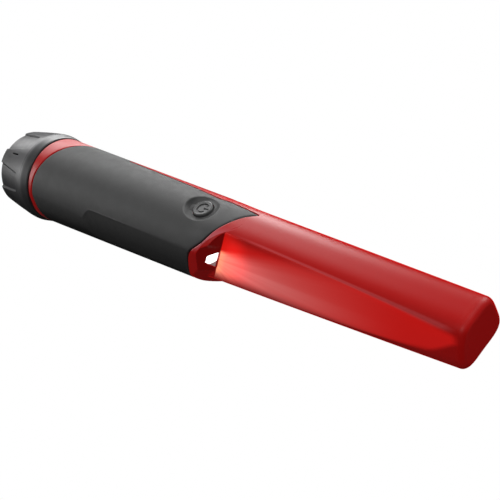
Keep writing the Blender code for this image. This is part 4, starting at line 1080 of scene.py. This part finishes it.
def inner_looks():
    """Materials for the CAD pieces inside, by the record's slot."""
    return {
        "bright_steel": brushed("bright_steel", (0.6, 0.6, 0.6), 0.28, (1.0, 0.05, 1.0)),
        "contact_brass": brushed("contact_brass", (0.72, 0.5, 0.2), 0.26, (1.0, 0.05, 1.0)),
        "enamelled_copper": wound_wire(),
        "tray_plastic": moulded("tray_plastic", (0.22, 0.22, 0.23), 0.5).material,
        "chip_plastic": moulded("chip_plastic", (0.02, 0.02, 0.022), 0.45, 0.15).material,
        "board_laminate": laminate(),
        "capacitor_sleeve": moulded("capacitor_sleeve", (0.02, 0.05, 0.2), 0.3, 0.5, 0.005).material,
        "ferrite_ceramic": moulded("ferrite_ceramic", (0.05, 0.05, 0.055), 0.55, 0.1, 0.02).material,
        "foam_pad": foam(),
        "battery_wrap": moulded("battery_wrap", (0.05, 0.06, 0.09), 0.3, 0.8, 0.004).material,
        "emitter_resin": moulded("emitter_resin", (0.9, 0.88, 0.8), 0.15, 0.6, 0.002, 0.03).material,
    }


def dress_inner_pieces():
    looks = inner_looks()
    for part in frame["record"]["subparts"]:
        material = looks.get(part["material_slot"])
        node = frame["nodes"][part["node"]]
        if material is not None:
            node.data.materials.clear()
            node.data.materials.append(material)


# ---- stage --------------------------------------------------------------------------------------
def show_camera(tree, shown, lit, output_kind):
    """Gives the camera one shader and everything else another."""
    path = tree.nodes.new("ShaderNodeLightPath")
    mixed = tree.nodes.new("ShaderNodeMixShader")
    output = tree.nodes.new(output_kind)
    tree.links.new(path.outputs["Is Camera Ray"], mixed.inputs[0])
    tree.links.new(lit.outputs[0], mixed.inputs[1])
    tree.links.new(shown.outputs[0], mixed.inputs[2])
    tree.links.new(mixed.outputs[0], output.inputs["Surface"])


def build_floor():
    """White to the camera; nearly black to the light, so that it throws little back."""
    size = 6.0
    level = cad_low.z - 0.12
    mesh = bpy.data.meshes.new("studio_floor")
    mesh.from_pydata([(-size, -size, level), (size, -size, level), (size, size, level), (-size, size, level)],
                     [], [(0, 1, 2, 3)])
    floor = bpy.data.objects.new("studio_floor", mesh)
    bpy.context.scene.collection.objects.link(floor)
    material = bpy.data.materials.new("studio_floor_white")
    material.use_nodes = True
    tree = material.node_tree
    tree.nodes.clear()
    shown = tree.nodes.new("ShaderNodeEmission")
    shown.inputs["Color"].default_value = (1.0, 1.0, 1.0, 1.0)
    lit = tree.nodes.new("ShaderNodeBsdfDiffuse")
    lit.inputs["Color"].default_value = (0.03, 0.03, 0.03, 1.0)
    show_camera(tree, shown, lit, "ShaderNodeOutputMaterial")
    mesh.materials.append(material)


def build_world():
    """White to the camera; a dim, slightly brighter-overhead studio to everything else."""
    world = bpy.data.worlds.new("studio")
    bpy.context.scene.world = world
    world.use_nodes = True
    tree = world.node_tree
    tree.nodes.clear()
    coordinates = tree.nodes.new("ShaderNodeTexCoord")
    split = tree.nodes.new("ShaderNodeSeparateXYZ")
    tree.links.new(coordinates.outputs["Generated"], split.inputs[0])
    rise = tree.nodes.new("ShaderNodeMapRange")
    for socket, value in (("From Min", -0.2), ("From Max", 1.0), ("To Min", 0.03), ("To Max", 0.12)):
        rise.inputs[socket].default_value = value
    tree.links.new(split.outputs["Z"], rise.inputs["Value"])
    room = tree.nodes.new("ShaderNodeBackground")
    tree.links.new(rise.outputs[0], room.inputs["Strength"])
    shown = tree.nodes.new("ShaderNodeBackground")
    shown.inputs["Strength"].default_value = 1.0
    shown.inputs["Color"].default_value = (1.0, 1.0, 1.0, 1.0)
    show_camera(tree, shown, room, "ShaderNodeOutputWorld")


def softbox(name, direction, distance, size, power):
    """A rectangular light that faces the middle of the probe."""
    middle = (cad_low + cad_high) / 2.0
    light = bpy.data.lights.new(name, 'AREA')
    light.shape = 'RECTANGLE'
    light.size = size[0]
    light.size_y = size[1]
    light.energy = power
    lamp = bpy.data.objects.new(name, light)
    away = Vector(direction).normalized()
    lamp.location = middle + away * distance
    lamp.rotation_euler = (-away).to_track_quat('-Z', 'Y').to_euler()
    lamp.visible_camera = False
    bpy.context.scene.collection.objects.link(lamp)


def build_lights():
    softbox("back_softbox", (-0.62, 0.72, 0.26), 0.62, (0.2, 0.5), 2.6)
    softbox("back_key", (0.25, 0.85, 0.46), 1.1, (0.5, 0.5), 11.0)
    softbox("cap_softbox", (-0.85, 0.36, 0.36), 0.6, (0.3, 0.3), 1.1)
    softbox("side_softbox", (-0.8, -0.45, 0.4), 0.6, (0.22, 0.3), 0.9)
    softbox("top_key", (0.42, -0.32, 0.85), 1.1, (0.5, 0.5), 7.0)


def build_camera():
    data = bpy.data.cameras.new("studio_camera")
    data.sensor_width = 36.0
    data.lens = 69.12
    data.clip_start = 0.01
    data.clip_end = 50.0
    camera = bpy.data.objects.new("studio_camera", data)
    right = Vector((0.7314, 0.6191, -0.2858))
    forward = Vector((-0.6283, 0.4490, -0.6354))
    up = right.cross(forward).normalized()
    right = forward.cross(up).normalized()
    turn = Matrix((right, up, -forward.normalized())).transposed()
    place = Vector(((345.84 + SEAM) * MM, -164.44 * MM, 231.08 * MM))
    camera.matrix_world = Matrix.Translation(place) @ turn.to_4x4()
    bpy.context.scene.collection.objects.link(camera)
    bpy.context.scene.camera = camera
    bpy.context.scene.view_settings.view_transform = 'Standard'


# ---- assembly -----------------------------------------------------------------------------------
build_housing(red_plastic())
build_sleeve(grip_rubber())
build_lamp_window(lit_lens())
build_button(key_rubber())
build_cap(cap_plastic())
build_seal(moulded("seal_rubber", (0.02, 0.02, 0.02), 0.5).material)
dress_inner_pieces()
build_floor()
build_world()
build_lights()
build_camera()
